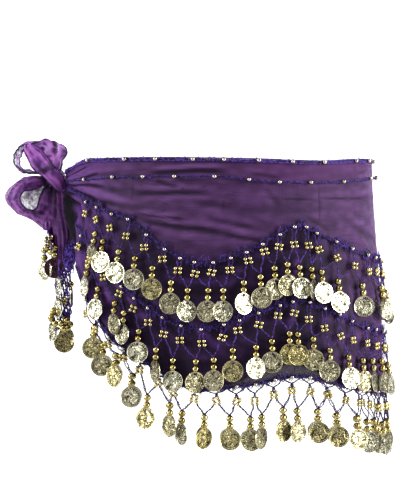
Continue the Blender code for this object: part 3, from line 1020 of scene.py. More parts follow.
def stitches_of(row, line, rng):
    """The stitches of the front, some round the wearer's left side, and the hidden side's behind the front's."""
    front = []
    for pitch in row.pitches:
        angle, height = line.at(line.place_of(angle_across(pitch.cluster, AMONG_NETS)))
        height -= pitch.below + (hem_rise(angle) if row.number == 3 else 0)
        cluster = angle_across(pitch.cluster, height)
        drop = angle_across(pitch.drop, pitch.height - DROP_MIDDLE, row.coin_out)
        front.append(
            Stitch(
                cluster + rng.uniform(*BEAD_BESIDE), cluster, height, drop, pitch.height,
                turned_from_outward(drop, pitch.height, pitch.turn), pitch.dull, rng.uniform(*CLUSTER_SPIN),
            )
        )
    hidden = []
    for stitch, owner in zip(reversed(front[1:]), reversed(front[:-1])):
        cluster, height = straight_behind(stitch.cluster, stitch.cluster_height)
        drop, drop_height = straight_behind(owner.drop, owner.drop_height)
        dull = (owner.dull + rng.uniform(*HIDDEN_WEAR)) % DULLEST_HIDDEN
        hidden.append(Stitch(cluster, cluster, height, drop, drop_height, -owner.turn, dull, -stitch.spin))
    side = []
    place = line.place_of(front[-1].cluster) + SIDE_PITCH
    while place < line.place_of(hidden[0].cluster) - 0.6 * SIDE_PITCH:
        cluster, top = line.at(place)
        drop, drop_top = line.at(place + SIDE_PITCH / 2 + rng.uniform(-1.5, 1.5))
        side.append(
            Stitch(
                cluster, cluster, top - rng.uniform(*SIDE_CLUSTER_BELOW),
                drop, drop_top - rng.uniform(*SIDE_DROP_BELOW),
                rng.uniform(*SIDE_TURN), rng.uniform(*SIDE_DULL), rng.uniform(*CLUSTER_SPIN),
            )
        )
        place += SIDE_PITCH + rng.uniform(-1.2, 1.2)
    return front + side + hidden


def add_row(row, finishes, shapes):
    """A waved row: its crocheted heading, its net, and the beads and coins that hang from it."""
    rng = random.Random(40 + row.number)
    line = Line(row.line, row.start, row.end)
    stitches = stitches_of(row, line, rng)
    beads, coins = Stamped(), Stamped()

    # the heading: a chain with short cross stitches, and picots that stand up beside the beads
    heading = plait(line, 0, line.length, 0, 0.75, 4.9, 2, depth=0.45, seed=row.number)
    heading += plait(line, 0, line.length, 0.6, 2.4, 8.3, 2, out=0.4, depth=0.6, seed=row.number + 5, thick=0.62)
    for stitch in stitches:
        place = line.place_of(stitch.bead)
        for beside, low, high, lean, widest in [PICOT_OVER] * row.picots + [PICOT_UNDER] * PICOTS_UNDER:
            where, height = place + rng.uniform(-beside, beside), rng.uniform(low, high)
            heading.append(picot(line, where, height, rng.uniform(-lean, lean), rng.uniform(1.8, widest)))
        angle, height = line.at(place)
        where = upright_at(angle, height + rng.uniform(-0.8, 0.8), HEADING_BEAD_OUT)
        beads.add(shapes["small_bead"], where, SILVERED)

    net = []
    half = THREAD_ASIDE / ARC_PER_DEGREE
    for i, stitch in enumerate(stitches):
        angle, height = line.at(line.place_of(stitch.bead))
        if row.open_over:
            # a zigzag from between the stitches to a place over each cluster
            tied = min(stitch.cluster_height + row.open_over, height - 3.5)
            for neighbour in (max(i - 1, 0), min(i + 1, len(stitches) - 1)):
                middle = (stitches[neighbour].bead + stitch.bead) / 2
                net += hanging_threads(
                    (middle, line.at(line.place_of(middle))[1] - 0.8, NET_OUT),
                    (stitch.cluster, tied, NET_OUT + 0.6), 0.7, rng, row.thick,
                )
            angle, height = stitch.cluster, tied + 1
        for side in (-1, 1):
            net += hanging_threads(
                (angle + side * (0.3 if row.open_over else 1.8) * half, height - 1.0, NET_OUT),
                (stitch.cluster + side * half, stitch.cluster_height + CLUSTER_STEP / 2, NET_OUT + 1.2),
                0.0, rng, row.thick,
            )
        add_cluster(beads, shapes, stitch, rng)
        # down to this stitch's drop on one side and the last one's on the other
        for owner, side in [(stitch, 1), (stitches[i - 1], -1)][: 2 if i else 1]:
            net += hanging_threads(
                (stitch.cluster + side * half, stitch.cluster_height - CLUSTER_STEP / 2, NET_OUT + 1.2),
                (owner.drop, owner.drop_height + DROP_BEAD - 0.4, NET_OUT + 2.6),
                1.2, rng, row.thick,
            )
        add_drop(beads, coins, net, shapes, stitch, row.coin_out, rng)

    def add(name, mesh, finish, stands_for=None):
        nodes = [f"{stands_for}_{row.number}_{side}" for side in ("front", "back")] if stands_for else ()
        add_piece(f"{name}_{row.number}", mesh, finishes[finish], nodes)

    add("heading_stitches", thread_mesh("heading", heading, CHAIN), "edging", "heading")
    net_finish = "dark_edging" if row.open_over else "net"
    add("net_threads", thread_mesh("net", net, THREAD), net_finish, "net")
    add("row_beads", beads.mesh("beads"), "beads")
    add("row_coins", coins.mesh("coins"), "coins", "fringe")


def add_cluster(beads, shapes, stitch, rng):
    """Four small beads, two by two, round the crossing of a thread."""
    spin = math.radians(stitch.spin)
    for across, up in ((-1, -1), (1, -1), (-1, 1), (1, 1)):
        x, y = (across * CLUSTER_STEP / 2, up * CLUSTER_STEP / 2)
        x, y = x * math.cos(spin) - y * math.sin(spin), x * math.sin(spin) + y * math.cos(spin)
        out = NET_OUT + CLUSTER_OUT + rng.uniform(-0.4, 0.6)
        place = upright_at(stitch.cluster + x / ARC_PER_DEGREE, stitch.cluster_height + y, out)
        beads.add(shapes["small_bead"], place, CLUSTER_TONE + CLUSTER_TONE_SPREAD * rng.random())


def add_drop(beads, coins, net, shapes, stitch, coin_out, rng):
    """Two beads over a coin, on a doubled thread."""
    angle, top = stitch.drop, stitch.drop_height
    lean = rng.uniform(-0.3, 0.3) / ARC_PER_DEGREE
    for i in range(2):
        place = (angle + lean * i, top - i * BEAD_GAP, coin_out - BEADS_BEHIND + BEAD_STEPS_OUT * i)
        bead = upright_at(*place, tilt=rng.uniform(-BEAD_TILT, BEAD_TILT))
        beads.add(shapes["drop_bead"], bead, rng.random())
    out = coin_out + rng.uniform(-0.8, 0.8)
    hole = top - COIN_BELOW + COIN_HOLE_UP
    where = angle + lean * 2
    for side in (-1, 1):
        down = (
            wrap_point(where, top - BEAD_GAP - DROP_BEAD + 1.0, coin_out - 1.6),
            wrap_point(where + side * 0.25, hole + 1.6, out + side * 0.7),
            wrap_point(where, hole + 0.2, out + side * 0.25),
        )
        net.append(even(down, 0.5))
    lean_back = LEAN_BACK - DULL_LEANS_LESS * stitch.dull + rng.uniform(-2.0, 2.0)
    place = upright_at(where, hole, out, stitch.turn, -lean_back, rng.uniform(-6, 6))
    hang_coin(coins, shapes, place, stitch.dull)


def hang_coin(coins, shapes, hole, dull):
    """A coin that hangs by its hole at a place."""
    coins.add(shapes["coin"], hole @ Matrix.Translation((0, -COIN_HOLE_UP * MM, 0)), dull)


# Beads along the two upper lines, at x on the front
TOP_BEADS = (-148, -108, -75, -35, -2, 35, 71, 105, 140, 155)
WAIST_BEADS = (-148, -119, -87, -54, -12, 24, 56, 89, 124, 154)
HIDDEN_BEAD_GAP = 34.0
# How far above the cloth's edge the straight strands of the top edging lie
EDGING_STRANDS = (0.7, 2.3, 3.9)


def add_line_beads(beads, shape, line, fronts, end, up, out):
    """Beads along a line, at x on the front and evenly on the hidden side. Gives their places."""
    places = [line.place_of(angle_across(x, -10)) for x in fronts]
    place = places[-1] + HIDDEN_BEAD_GAP
    while place < line.place_of(end):
        places.append(place)
        place += HIDDEN_BEAD_GAP + 3 * math.sin(place)
    for place in places:
        angle, height = line.at(place)
        beads.add(shape, upright_at(angle, height + up, out, spin=90), SILVERED)
    return places


def add_upper_lines(finishes, shapes):
    """The crocheted edging along the top edge and the worked line below it, with their beads."""
    rng = random.Random(7)
    top = Line(top_of, 4.0, 356.0, out=0.0)
    edging = plait(top, 0, top.length, 2.6, 1.7, 8.2, 3, depth=0.7, seed=2)
    for up in EDGING_STRANDS:
        edging.append([(top.point(place, up=up), 1.1) for place in np.arange(0, top.length, 2.5)])
    edging += plait(top, 0, top.length, 0.9, 0.5, 4.4, 2, out=0.9, depth=0.5, seed=3)
    place = 3.0
    while place < top.length - 3:
        edging.append(
            picot(top, place, rng.uniform(4.2, 5.6), rng.uniform(-1.5, 1.5), rng.uniform(2.2, 3.4), 0.2)
        )
        place += rng.uniform(3.2, 5.2)
    beads = Stamped()
    add_line_beads(beads, shapes["line_bead"], top, TOP_BEADS, 350, up=2.4, out=2.6)

    waist = Line(lambda turn: turn.waist, 6.0, 354.0)
    chain = plait(waist, 0, waist.length, 0, 0.75, 4.6, 2, depth=0.5, seed=9)
    chain += plait(waist, 0, waist.length, -0.2, 1.1, 7.7, 1, out=0.3, depth=0.3, seed=11)
    for place in add_line_beads(beads, shapes["line_bead"], waist, WAIST_BEADS, 348, up=0, out=4.5):
        for _ in range(2):
            chain.append(
                picot(waist, place + rng.uniform(-4, 4), rng.uniform(-3.2, 3.2), rng.uniform(-2, 2), 1.6)
            )
    add_piece(
        "top_edging_stitches", thread_mesh("top_edging", edging, CHAIN), finishes["net"],
        ("top_edging_front", "top_edging_back"),
    )
    add_piece(
        "waist_line_stitches", thread_mesh("waist_line", chain, CHAIN), finishes["edging"],
        ("waist_line_front", "waist_line_back"),
    )
    add_piece("line_beads", beads.mesh("beads"), finishes["beads"])


# ---------------------------------------------------------------- the half bow

BOW_WALL = 0.3
ROLLED_HEM = 0.74
# How a hem's second strand winds: how far out of the first one, and how far round it from point to point
HEM_WINDS_OUT, HEM_WINDS_ROUND = 0.5, 1.9
# The creases, fine creases and soft swells of bunched cloth: over what length, and their share of its crumple
CREASE, FINE_CREASE, SWELL = table("length share", (16, 0.55), (7, 0.22), (11, 0.8))
CREASE_SHARPNESS = 3.2


def smooth_run(places, count):
    """Evenly many places on a smooth curve through the given ones."""
    last = len(places) - 1
    made = []
    for place in np.linspace(0, last, count + 1):
        step = min(int(place), last - 1)
        four = [places[min(max(step + i, 0), last)] for i in (-1, 0, 1, 2)]
        made.append(between(*four, place - step))
    return np.array(made)


def ribbon_points(crosses, columns, rows):
    """A smooth grid of points in mm, along a ribbon and from its first hem to its last."""
    along = smooth_run(np.array(crosses, dtype=float), columns)
    return smooth_run(along.swapaxes(0, 1), rows).swapaxes(0, 1) + np.array(KNOT_CENTRE)


def crumpled(points, ribbon):
    """Pleats that run out of the knot, and the creases of thin cloth that was bunched in a hand."""
    seed = ribbon.seed
    out = np.zeros(points.shape[:2])
    for column, cross in enumerate(points):
        along = column / ribbon.columns
        near = math.exp(-along / 0.2) + math.exp(-(1 - along) / 0.2)
        free = 1 - 0.75 * min(1, near)
        for row, point in enumerate(cross):
            across, place = row / ribbon.rows, Vector(point)
            wander = 0.12 * noise.noise(Vector((along * 4, seed, across * 2)))
            phase = 2 * math.pi * ribbon.pleats * (across + wander)
            out[column, row] = ribbon.pleat_depth * (0.3 + 0.9 * near) * math.cos(phase + seed)
            crease = 1 - CREASE_SHARPNESS * abs(noise.noise(place / CREASE.length + Vector((seed, 0, 0))))
            fine = 1 - CREASE_SHARPNESS * abs(noise.noise(place / FINE_CREASE.length + Vector((0, seed, 0))))
            swell = noise.noise(place / SWELL.length + Vector((0, 0, seed)))
            crumple = CREASE.share * crease + FINE_CREASE.share * fine + SWELL.share * swell
            out[column, row] += free * ribbon.crumple * crumple
    return out


def fold_tones(folds, reach=4, deep=0.7):
    """How far each place lies in a trough or on a ridge of the cloth, 0 to 1: where shade and highlights are
    painted.
    """
    hollow = smoothed(folds, reach) - folds
    return {"trough": clipped(hollow / deep), "ridge": clipped(-hollow / deep)}


def rolled_hem(points, seed):
    """The rolled and overcast hem of an edge: a strand with a second one wound round it."""
    places = [Vector(p) for p in points]
    wound = []
    for i, place in enumerate(places):
        ahead = (places[min(i + 1, len(places) - 1)] - places[max(i - 1, 0)]).normalized()
        side = ahead.orthogonal().normalized()
        side.rotate(Matrix.Rotation(i * HEM_WINDS_ROUND + seed, 3, ahead))
        wound.append(place + side * HEM_WINDS_OUT)
    return [even(places), stitched(wound)]


def flat_size(points):
    """The width and length in metres that a grid of cloth was cut to."""
    width = np.linalg.norm(np.diff(points, axis=1), axis=2).sum(axis=1).mean()
    length = np.linalg.norm(np.diff(points, axis=0), axis=2).sum(axis=0).mean()
    return round(float(width) * MM, 3), round(float(length) * MM, 3)


# How dark the shade of the upper loop is painted on the lower loop and the hanging end
LOWER_SHADE = 0.31
TAIL_SHADE = 0.56
# Where a piece of the bow is shaded by what lies over it, painted as shade: a stretch seen from the front, from
# the knot's centre
SHADES = table(
    "piece x z to_x to_z half strength",
    ("half_bow_lower", -10.8, 0, -2, -15, 5.0, 1.0),
    ("half_bow_lower", -30, -34, -13, -36, 3.2, 0.85),
    ("knot_crossing_stretch", -3, 3, 9, -9, 9.0, 0.45),
    ("half_bow_front_fold", -14.5, 8.2, 3, 14.7, 3.0, 0.92),
    ("half_bow_upper", 2, 12, 10, 30, 7.0, 0.35),
)


def shading(points, shade):
    """How far each point lies in a painted shade."""
    start, run = np.array((shade.x, shade.z)), np.array((shade.to_x - shade.x, shade.to_z - shade.z))
    flat = (points - np.array(KNOT_CENTRE))[:, :, [0, 2]] - start
    part = clipped(flat @ run / (run @ run))
    away = np.linalg.norm(flat - part[:, :, None] * run, axis=2)
    return shade.strength * np.exp(-((away / shade.half) ** 4))


RIBBONS = table(
    "name crosses columns rows pleats pleat_depth crumple seed node",
    ("half_bow_upper", UPPER_LOOP, 190, 48, 3.0, 0.9, 2.9, 1.3, "bow_loop_upper"),
    ("half_bow_front_fold", FRONT_FOLD, 80, 30, 2.5, 0.9, 0.9, 2.9, "bow_loop_upper"),
    ("half_bow_lower", LOWER_LOOP, 190, 56, 4.0, 0.8, 1.9, 5.7, "bow_loop_lower"),
    ("knot_crossing_stretch", CROSSING, 80, 34, 2.5, 0.55, 0.7, 4.1, "knot_band"),
)
# The inner part of the lower loop's cloth is spread out: where that starts across it, and over how much of it
SPREAD_FROM, SPREAD_OVER = 0.62, 0.25


def parts_of(columns, rows):
    """How far each place of a grid lies along it and across it, 0 to 1."""
    return np.linspace(0, 1, columns + 1)[:, None], np.linspace(0, 1, rows + 1)[None, :]


def add_cloth(name, mesh_name, points, tones, material, node, hems, hem_name, hem_material):
    """A stretch of the bow's cloth and the piece of its rolled hems."""
    mesh = cloth_mesh(mesh_name, points, flat_size(points)[::-1], BOW_WALL, **tones)
    piece = add_piece(name, mesh, material, (node,))
    strands = [strand for edge, seed in hems for strand in rolled_hem(edge, seed)]
    return piece, add_piece(hem_name, thread_mesh(hem_name, strands, ROLLED_HEM), hem_material)


def add_ribbon(ribbon, material, hem_material):
    """One loop or fold of the half bow, with its two hems."""
    points = ribbon_points(ribbon.crosses, ribbon.columns, ribbon.rows)
    folds = crumpled(points, ribbon)
    along, across = parts_of(ribbon.columns, ribbon.rows)
    near_knot = np.maximum(np.exp(-along / 0.10), np.exp(-(1 - along) / 0.10))
    inner = clipped((across - SPREAD_FROM) / SPREAD_OVER)
    lower = ribbon.name == "half_bow_lower"
    if lower:
        folds *= 1 - 0.6 * inner
    points += normals_of(points) * folds[:, :, None]
    tones = fold_tones(folds, deep=0.5)
    # how much of what lies behind the cloth covers: little where it is spread out
    solid = 0.95
    if ribbon.name == "half_bow_upper":
        solid = 0.84 + 0.16 * near_knot - 0.44 * np.exp(-(((along - 0.66) / 0.16) ** 2))
    elif lower:
        solid = 0.92 + 0.08 * near_knot - 0.46 * inner
    tones["solid"] = clipped(solid + 0.4 * tones["trough"])
    if lower:
        # painted shade: the lower loop lies darker in the upper loop's shade, and nearly black where its two ends
        # go into the knot
        bunched = np.maximum(np.exp(-((along / 0.13) ** 2)), np.exp(-(((1 - along) / 0.25) ** 2)))
        shaded = LOWER_SHADE + (1 - LOWER_SHADE) * tones["trough"]
        tones["trough"] = np.maximum(shaded, bunched) * (1 - inner)
        tones["ridge"] *= 1 - 0.7 * bunched
    # painted shade where other pieces lie over this one
    for shade in SHADES:
        if shade.piece == ribbon.name:
            shaded = shading(points, shade)
            tones["trough"] = np.maximum(tones["trough"], shaded)
            tones["ridge"] *= 1 - shaded
    hems = ((points[:, 0], ribbon.seed), (points[:, -1], ribbon.seed + 1))
    piece, hem = add_cloth(
        ribbon.name, ribbon.name, points, tones, material, ribbon.node, hems, ribbon.name + "_hem", hem_material
    )


def add_bunch(name, segments, rings, formed, material, nodes=()):
    """A closed bunch of cloth, made from a ball. formed gives the trough and ridge tones of painted shade and
    highlight, and the place in mm of each point.
    """
    bm = bmesh.new()
    bmesh.ops.create_uvsphere(bm, u_segments=segments, v_segments=rings, radius=1)
    trough, ridge, solid = [bm.verts.layers.float.new(tone) for tone in ("trough", "ridge", "solid")]
    for vert in bm.verts:
        vert[trough], vert[ridge], place = formed(vert.co)
        vert[solid] = 1.0
        vert.co = place * MM
    return add_piece(name, mesh_of(name, bm, smooth=True), material, nodes)


KNOT_STAND = Matrix.Translation(KNOT_CENTRE) @ Matrix.Rotation(math.radians(KNOT_TILT), 4, "Y")
KNOT_GATHERS = 9


def in_knot(place):
    """The cloth bunched inside the knot."""
    turn = KNOT_GATHERS * math.atan2(place.y, place.x)
    gather = 0.8 * math.cos(turn + 3 * place.z) + 0.7 * noise.noise(place * 3)
    half = (KNOT_CORE_ACROSS - 1.6 + gather, KNOT_CORE_ACROSS - 0.8 + gather, KNOT_CORE_ALONG - 1.5)
    # the core is painted dark as shade, darkest in the hollows of its gathers
    return 0.95 - 0.2 * gather, 0.0, KNOT_STAND @ Vector([c * h for c, h in zip(place, half)])


TUCK_CENTRE = Vector((-6.5, -14.0, -48.5))
TUCK_HALF = (5.2, 4.6, 6.6)
TUCK_SLANT = 0.22
TUCK_PUCKERS = 7


def in_tuck(place):
    """The puckered tuck at the foot of the lower loop, from which the side beads hang."""
    turn = TUCK_PUCKERS * math.atan2(place.y, place.x)
    pucker = math.cos(turn + 2.5 * place.z) * (1 - place.z**2) + 0.8 * noise.noise(place * 2.3)
    out = 1 + 0.10 * pucker
    formed = Vector((place.x * TUCK_HALF[0] * out, place.y * TUCK_HALF[1] * out, place.z * TUCK_HALF[2]))
    formed.x += TUCK_SLANT * formed.z
    # painted shade in the hollows of the puckers and painted highlights on them
    trough, ridge = (min(max(tone, 0.0), 1.0) for tone in (0.30 - 0.7 * pucker, 0.5 * pucker))
    return trough, ridge, formed + KNOT_CENTRE + TUCK_CENTRE


# ---------------------------------------------------------------- the hanging end

TAIL_COLUMNS = 110
TAIL_ROWS = 120
# How far the lower edge slants up to the right, how far the right part lies back, and the number of fine pleats
TAIL_SLANT = 16
TAIL_LIES_BACK = 7.0
TAIL_FINE_PLEATS = 6.5


def drop_point(drops, across, height, extra=0.0):
    """A point of the hanging end or its net, part of the way across it at a height."""
    drop = read(drops, height)
    pleat = drop.pleat * math.sin(2 * math.pi * PLEATS * across)
    return hang_at(drop.left + (drop.right - drop.left) * across, drop.depth + pleat + extra, height)


def hang_at(x, depth, height):
    return KNOT_CENTRE + Vector((x, depth, height))


def add_hanging_end(finishes):
    """The end of the scarf that hangs out of the knot, in long pleats."""
    points = np.zeros((TAIL_COLUMNS + 1, TAIL_ROWS + 1, 3))
    top, bottom = HANGING_END[-1].height, HANGING_END[0].height
    for i in range(TAIL_COLUMNS + 1):
        across = i / TAIL_COLUMNS
        for j in range(TAIL_ROWS + 1):
            down = j / TAIL_ROWS
            height = top + (bottom - top) * down + TAIL_SLANT * down**3 * (across - 0.25)
            wander = 0.05 * math.sin(down * 5 + 1) + 0.03 * math.sin(down * 13)
            fine = 0.9 * math.sin(2 * math.pi * (TAIL_FINE_PLEATS * across + 0.6 * down))
            fine *= eased((down - 0.35) / 0.2)
            fine += 1.1 * noise.noise(Vector((across * 4, down * 3, 8.0)))
            place = min(max(across + wander * across * (1 - across) * 4, 0), 1)
            back = TAIL_LIES_BACK * eased((across - 0.62) / 0.2) * eased(down / 0.3)
            points[i, j] = drop_point(HANGING_END, place, height, extra=fine + back)
    # painted shade where the cloth lies back and painted highlights where it stands forward
    tones = fold_tones(KNOT_CENTRE.y - points[:, :, 1], 9, 3.6)
    across, down = parts_of(TAIL_COLUMNS, TAIL_ROWS)
    # painted shade: its right part lies shut in behind the rest and is painted nearly black
    shut = clipped((across - 0.60) / 0.14) * clipped(np.linspace(1.35, 0, TAIL_ROWS + 1)[None, :] / 0.35)
    tones["trough"] = np.maximum(TAIL_SHADE + (1 - TAIL_SHADE) * tones["trough"], shut)
    tones["ridge"] *= 0.6 * (1 - shut)
    # a painted highlight along one ridge down its lower half
    places = across + 0.02 * np.sin(np.linspace(0, 7, TAIL_ROWS + 1))[None, :]
    pale = np.exp(-(((places - 0.53) / 0.035) ** 2))
    pale = pale * clipped((down - 0.5) / 0.1) * clipped((1 - down) / 0.1)
    tones["ridge"] = np.maximum(tones["ridge"], 2.2 * pale)
    tones["trough"] *= 1 - pale
    tones["solid"] = np.ones_like(tones["ridge"])
    hems = ((points[0], 2.0), (points[-1], 4.0), (points[:, -1], 6.0))
    end, hem = add_cloth(
        "hanging_pleats", "hanging_end", points, tones, finishes["bow_cloth"], "hanging_end",
        hems, "hanging_hem", finishes["edging"],
    )


# Coins of the hanging end: x and height of the coin's middle from the knot's centre, depth, turn, dullness and
# how many beads show over it
COINS_HUNG = "x height depth turn dull beads"
HANGING_COINS = table(
    COINS_HUNG,
    (4.9, -115, 2, -70, 0.00, 0),
    (4.4, -139, 2, -66, 0.00, 0),
    (-1.6, -165, 7, -64, 0.20, 2),
    (11, -176, 4, 14, 0.62, 2),
    (13, -171, 10, -38, 0.50, 1),
    (18.5, -127, 9, 86, 0.20, 1),
)
SIDE_COINS = table(
    COINS_HUNG,
    (-10.0, -98, 9, -46, 0.00, 2),
    # this coin is painted with the dark purple of the shaded cloth it reflects
    (0.3, -95.5, 4, 12, 1.00, 2),
)
SIDE_BEADS = ((-7.7, -65, 3), (-4.0, -62, 5), (-8.2, -73, 2), (-3.6, -70, 4), (-3.4, -78, 3))
# Beads over the lowest coins, at x, height and depth
BUNCH = (
    (-0.2, -141.5, 4), (5.2, -142.5, 2), (-2.9, -149, 4), (1.1, -155.5, 1), (7.6, -155, 0), (13.9, -152, 2),
    (17.5, -156.5, 4), (3.8, -161, 2), (9.7, -160.5, 0), (14.6, -160.5, 1), (10.5, -149, 3),
)
# Four small beads tied two by two, and their place in the same order
TIED_FOUR = (10.5, -131, 0)
# Where the lower loop's end is tucked and tied: x, depth and height
LOOP_END = (-6.5, -8.0, -54.0)
# Open loops of crochet in the net below the end and in the lace along its edge
NET_LOOPS = 44
LACE_LOOPS = 54
# The net's strands: how many gaps lie between them, in how many steps each is made, how often they cross, and
# where they hang
LATTICE_GAPS, LATTICE_STEPS, LATTICE_CROSSINGS = 7, 33, 3.5
LATTICE_TOP, LATTICE_HEIGHT = -97, 55


def thread_loop(centre, rng, widths, heights, lean):
    """One open loop of crochet."""
    reach, rise, turn = rng.uniform(*widths), rng.uniform(*heights), rng.uniform(-lean, lean)
    points = []
    for i in range(11):
        part = 2 * math.pi * i / 10
        across, up = reach * math.sin(part), rise * math.cos(part)
        x, z = across * math.cos(turn) - up * math.sin(turn), across * math.sin(turn) + up * math.cos(turn)
        points.append(centre + Vector((x, 0.8 * math.sin(2 * part + turn), z)))
    return stitched(points, rng.uniform(0.75, 1.0))


def hanging_lattice():
    """Strands that cross over each other below the hanging end."""
    for i in range(LATTICE_GAPS + 1):
        for side in (-1, 1):
            strand = []
            for step in range(LATTICE_STEPS + 1):
                down = step / LATTICE_STEPS
                crossing = side * math.sin(math.pi * LATTICE_CROSSINGS * down + i)
                across = min(max(i / LATTICE_GAPS + 0.11 * crossing, 0), 1)
                place = drop_point(HANGING_NET, across, LATTICE_TOP - LATTICE_HEIGHT * down)
                place.y -= 2.2 * side * math.sin(math.pi * LATTICE_CROSSINGS * down)
                strand.append(place)
            yield stitched(strand, 0.95)


def hanging_edge_lace(rng):
    """Lace along the free edge of the hanging end: loops, and strands that run down through them."""
    for _ in range(LACE_LOOPS):
        down = rng.random()
        place = hang_at(rng.uniform(15.5 - 6 * down, 28.5 - 11 * down), rng.uniform(1, 7), -67 - 33 * down)
        yield thread_loop(place, rng, (1.4, 2.8), (2.2, 4.6), 0.9)
    for i in range(7):
        x = 15.5 + 2.0 * i
        yield stitched([
            hang_at(x - 9 * t * i / 6 + 1.4 * math.sin(6 * t + i), 4 + 1.5 * math.cos(5 * t + i), -66 - 34 * t)
            for t in np.linspace(0, 1, 26)
        ])


def add_hanging_trim(finishes, shapes):
    """The lace, net, beads and coins of the hanging end, bunched together."""
    rng = random.Random(21)
    beads, coins = Stamped(), Stamped()
    out = Matrix.Rotation(math.radians(90), 4, "X")  # a shape's face looks ahead

    def bead(shape, x, height, depth):
        beads.add(shapes[shape], Matrix.Translation(hang_at(x, depth, height) * MM) @ out, rng.random())

    threads = list(hanging_lattice())
    for _ in range(NET_LOOPS):
        place = drop_point(HANGING_NET, rng.random(), -98 - rng.random() * 50)
        threads.append(thread_loop(place - Vector((0, 2, 0)), rng, (1.2, 2.4), (1.8, 3.6), 0.8))
    lace = list(hanging_edge_lace(rng))

    for x, height, depth in BUNCH:
        bead("drop_bead" if rng.random() < 0.6 else "small_bead", x, height, depth)
    half = CLUSTER_STEP / 2
    for dx, dz in ((-half, -half), (half, -half), (-half, half), (half, half)):
        bead("small_bead", TIED_FOUR[0] + dx, TIED_FOUR[1] + dz, TIED_FOUR[2])

    tied_places = [
        (9 + 0.4 * (coin.x - 9), coin.depth + 1, coin.height + COIN_BELOW + 14) for coin in HANGING_COINS
    ]
    for coin, tied_at in zip(HANGING_COINS + SIDE_COINS, tied_places + [LOOP_END] * len(SIDE_COINS)):
        top = coin.height + COIN_BELOW
        for i in range(coin.beads):
            height = top - (2 - coin.beads + i) * BEAD_GAP
            bead("drop_bead", coin.x + rng.uniform(-0.8, 0.8), height, coin.depth - 1.0 + 0.5 * i)
        hole = hang_at(coin.x, coin.depth, coin.height + COIN_HOLE_UP)
        over_hole = hang_at(coin.x, coin.depth - 1, top - BEAD_GAP - 2.5)
        threads.append(even([over_hole, hole + Vector((0.3, -0.6, 1.6)), hole]))
        start, end = hang_at(coin.x, coin.depth - 1, top - BEAD_GAP), hang_at(*tied_at)
        for side in (-1, 1):
            strand = []
            for t in np.linspace(0, 1, 18):
                wound = Vector((0.7 * side * math.cos(22 * t) * (1 - t), -0.5 * side * math.sin(22 * t), 0))
                strand.append(start.lerp(end, t) + wound)
            threads.append(stitched(strand, 0.7))
        place = Matrix.Translation(hole * MM) @ Matrix.Rotation(math.radians(coin.turn), 4, "Z") @ out
        hang_coin(coins, shapes, place, coin.dull)
    # more beads of the side, close together over its two coins
    for x, height, depth in SIDE_BEADS:
        bead("drop_bead", x, height, depth)
    add_piece("hanging_lace", thread_mesh("hanging_lace", lace, THREAD), finishes["lace"])
    add_piece(
        "hanging_net_threads", thread_mesh("hanging_net", threads, THREAD), finishes["lace"],
        ("hanging_net",),
    )
    add_piece("hanging_beads", beads.mesh("beads"), finishes["beads"], ("hanging_side_fringe",))
    add_piece("hanging_coins", coins.mesh("coins"), finishes["coins"], ("hanging_fringe",))


# ---------------------------------------------------------------- finishes

class Value:
    """What comes out of a node. Reckoning with it adds further nodes."""

    def __init__(self, nodes, socket):
        self.nodes, self.socket = nodes, socket

    def __add__(self, other):
        return self.nodes.calc("ADD", self, other)

    def __sub__(self, other):
        return self.nodes.calc("SUBTRACT", self, other)

    def __rsub__(self, other):
        return self.nodes.calc("SUBTRACT", other, self)

    def __mul__(self, other):
        return self.nodes.calc("MULTIPLY", self, other)

    def spread(self, low, high):
        """The value from low..high as 0..1, with a soft start and end."""
        inputs = {"Value": self, "From Min": low, "From Max": high}
        return self.nodes.value("MapRange", "Result", inputs, interpolation_type="SMOOTHSTEP")


class Nodes:
    """A tree of nodes."""

    def __init__(self, tree):
        self.tree = tree

    def join(self, value, socket):
        """Gives a socket a number, a colour, a vector or what comes out of another node."""
        if isinstance(value, Value):
            self.tree.links.new(value.socket, socket)
        else:
            socket.default_value = (*value, 1) if socket.type == "RGBA" else value

    def add(self, kind, inputs, **settings):
        node = self.tree.nodes.new("ShaderNode" + kind)
        for key, setting in settings.items():
            setattr(node, key, setting)
        for key, value in inputs.items():
            self.join(value, node.inputs[key])
        return node

    def value(self, kind, output, inputs=None, **settings):
        """What comes out of a new node."""
        return Value(self, self.add(kind, inputs or {}, **settings).outputs[output])

    def calc(self, operation, *values, clamp=False):
        return self.value("Math", 0, dict(enumerate(values)), operation=operation, use_clamp=clamp)

    def vector(self, operation, *values, output="Vector"):
        return self.value("VectorMath", output, dict(enumerate(values)), operation=operation)

    def parts(self, vector):
        return [Value(self, part) for part in self.add("SeparateXYZ", {0: vector}).outputs]

    def mixed(self, share, low, high):
        """A colour from low to high. Each is a colour or comes out of a node."""
        return self.value("Mix", 2, {0: share, 6: low, 7: high}, data_type="RGBA")

    def tone(self, name):
        """A tone that the mesh holds at its points."""
        return self.value("Attribute", "Fac", attribute_name=name)

    def place(self):
        return self.value("TexCoord", "Object")

    def uv(self, name):
        return self.value("UVMap", "UV", uv_map=name)

    def grain(self, place, scale, detail=3.0, stretch=(1, 1, 1)):
        stretched = self.value("Mapping", "Vector", {"Scale": stretch, "Vector": place})
        return self.value("TexNoise", "Fac", {"Scale": scale, "Detail": detail, "Vector": stretched})


class Finish(Nodes):
    """A material with one shader."""

    def __init__(self, name):
        self.material = bpy.data.materials.new(name)
        self.material.use_nodes = True
        super().__init__(self.material.node_tree)
        self.shader = self.tree.nodes["Principled BSDF"]

    def set(self, inputs):
        for name, value in inputs.items():
            self.join(value, self.shader.inputs[name])

    def raised(self, height, distance, strength):
        inputs = {"Distance": distance, "Strength": strength, "Height": height}
        self.set({"Normal": self.value("Bump", "Normal", inputs)})


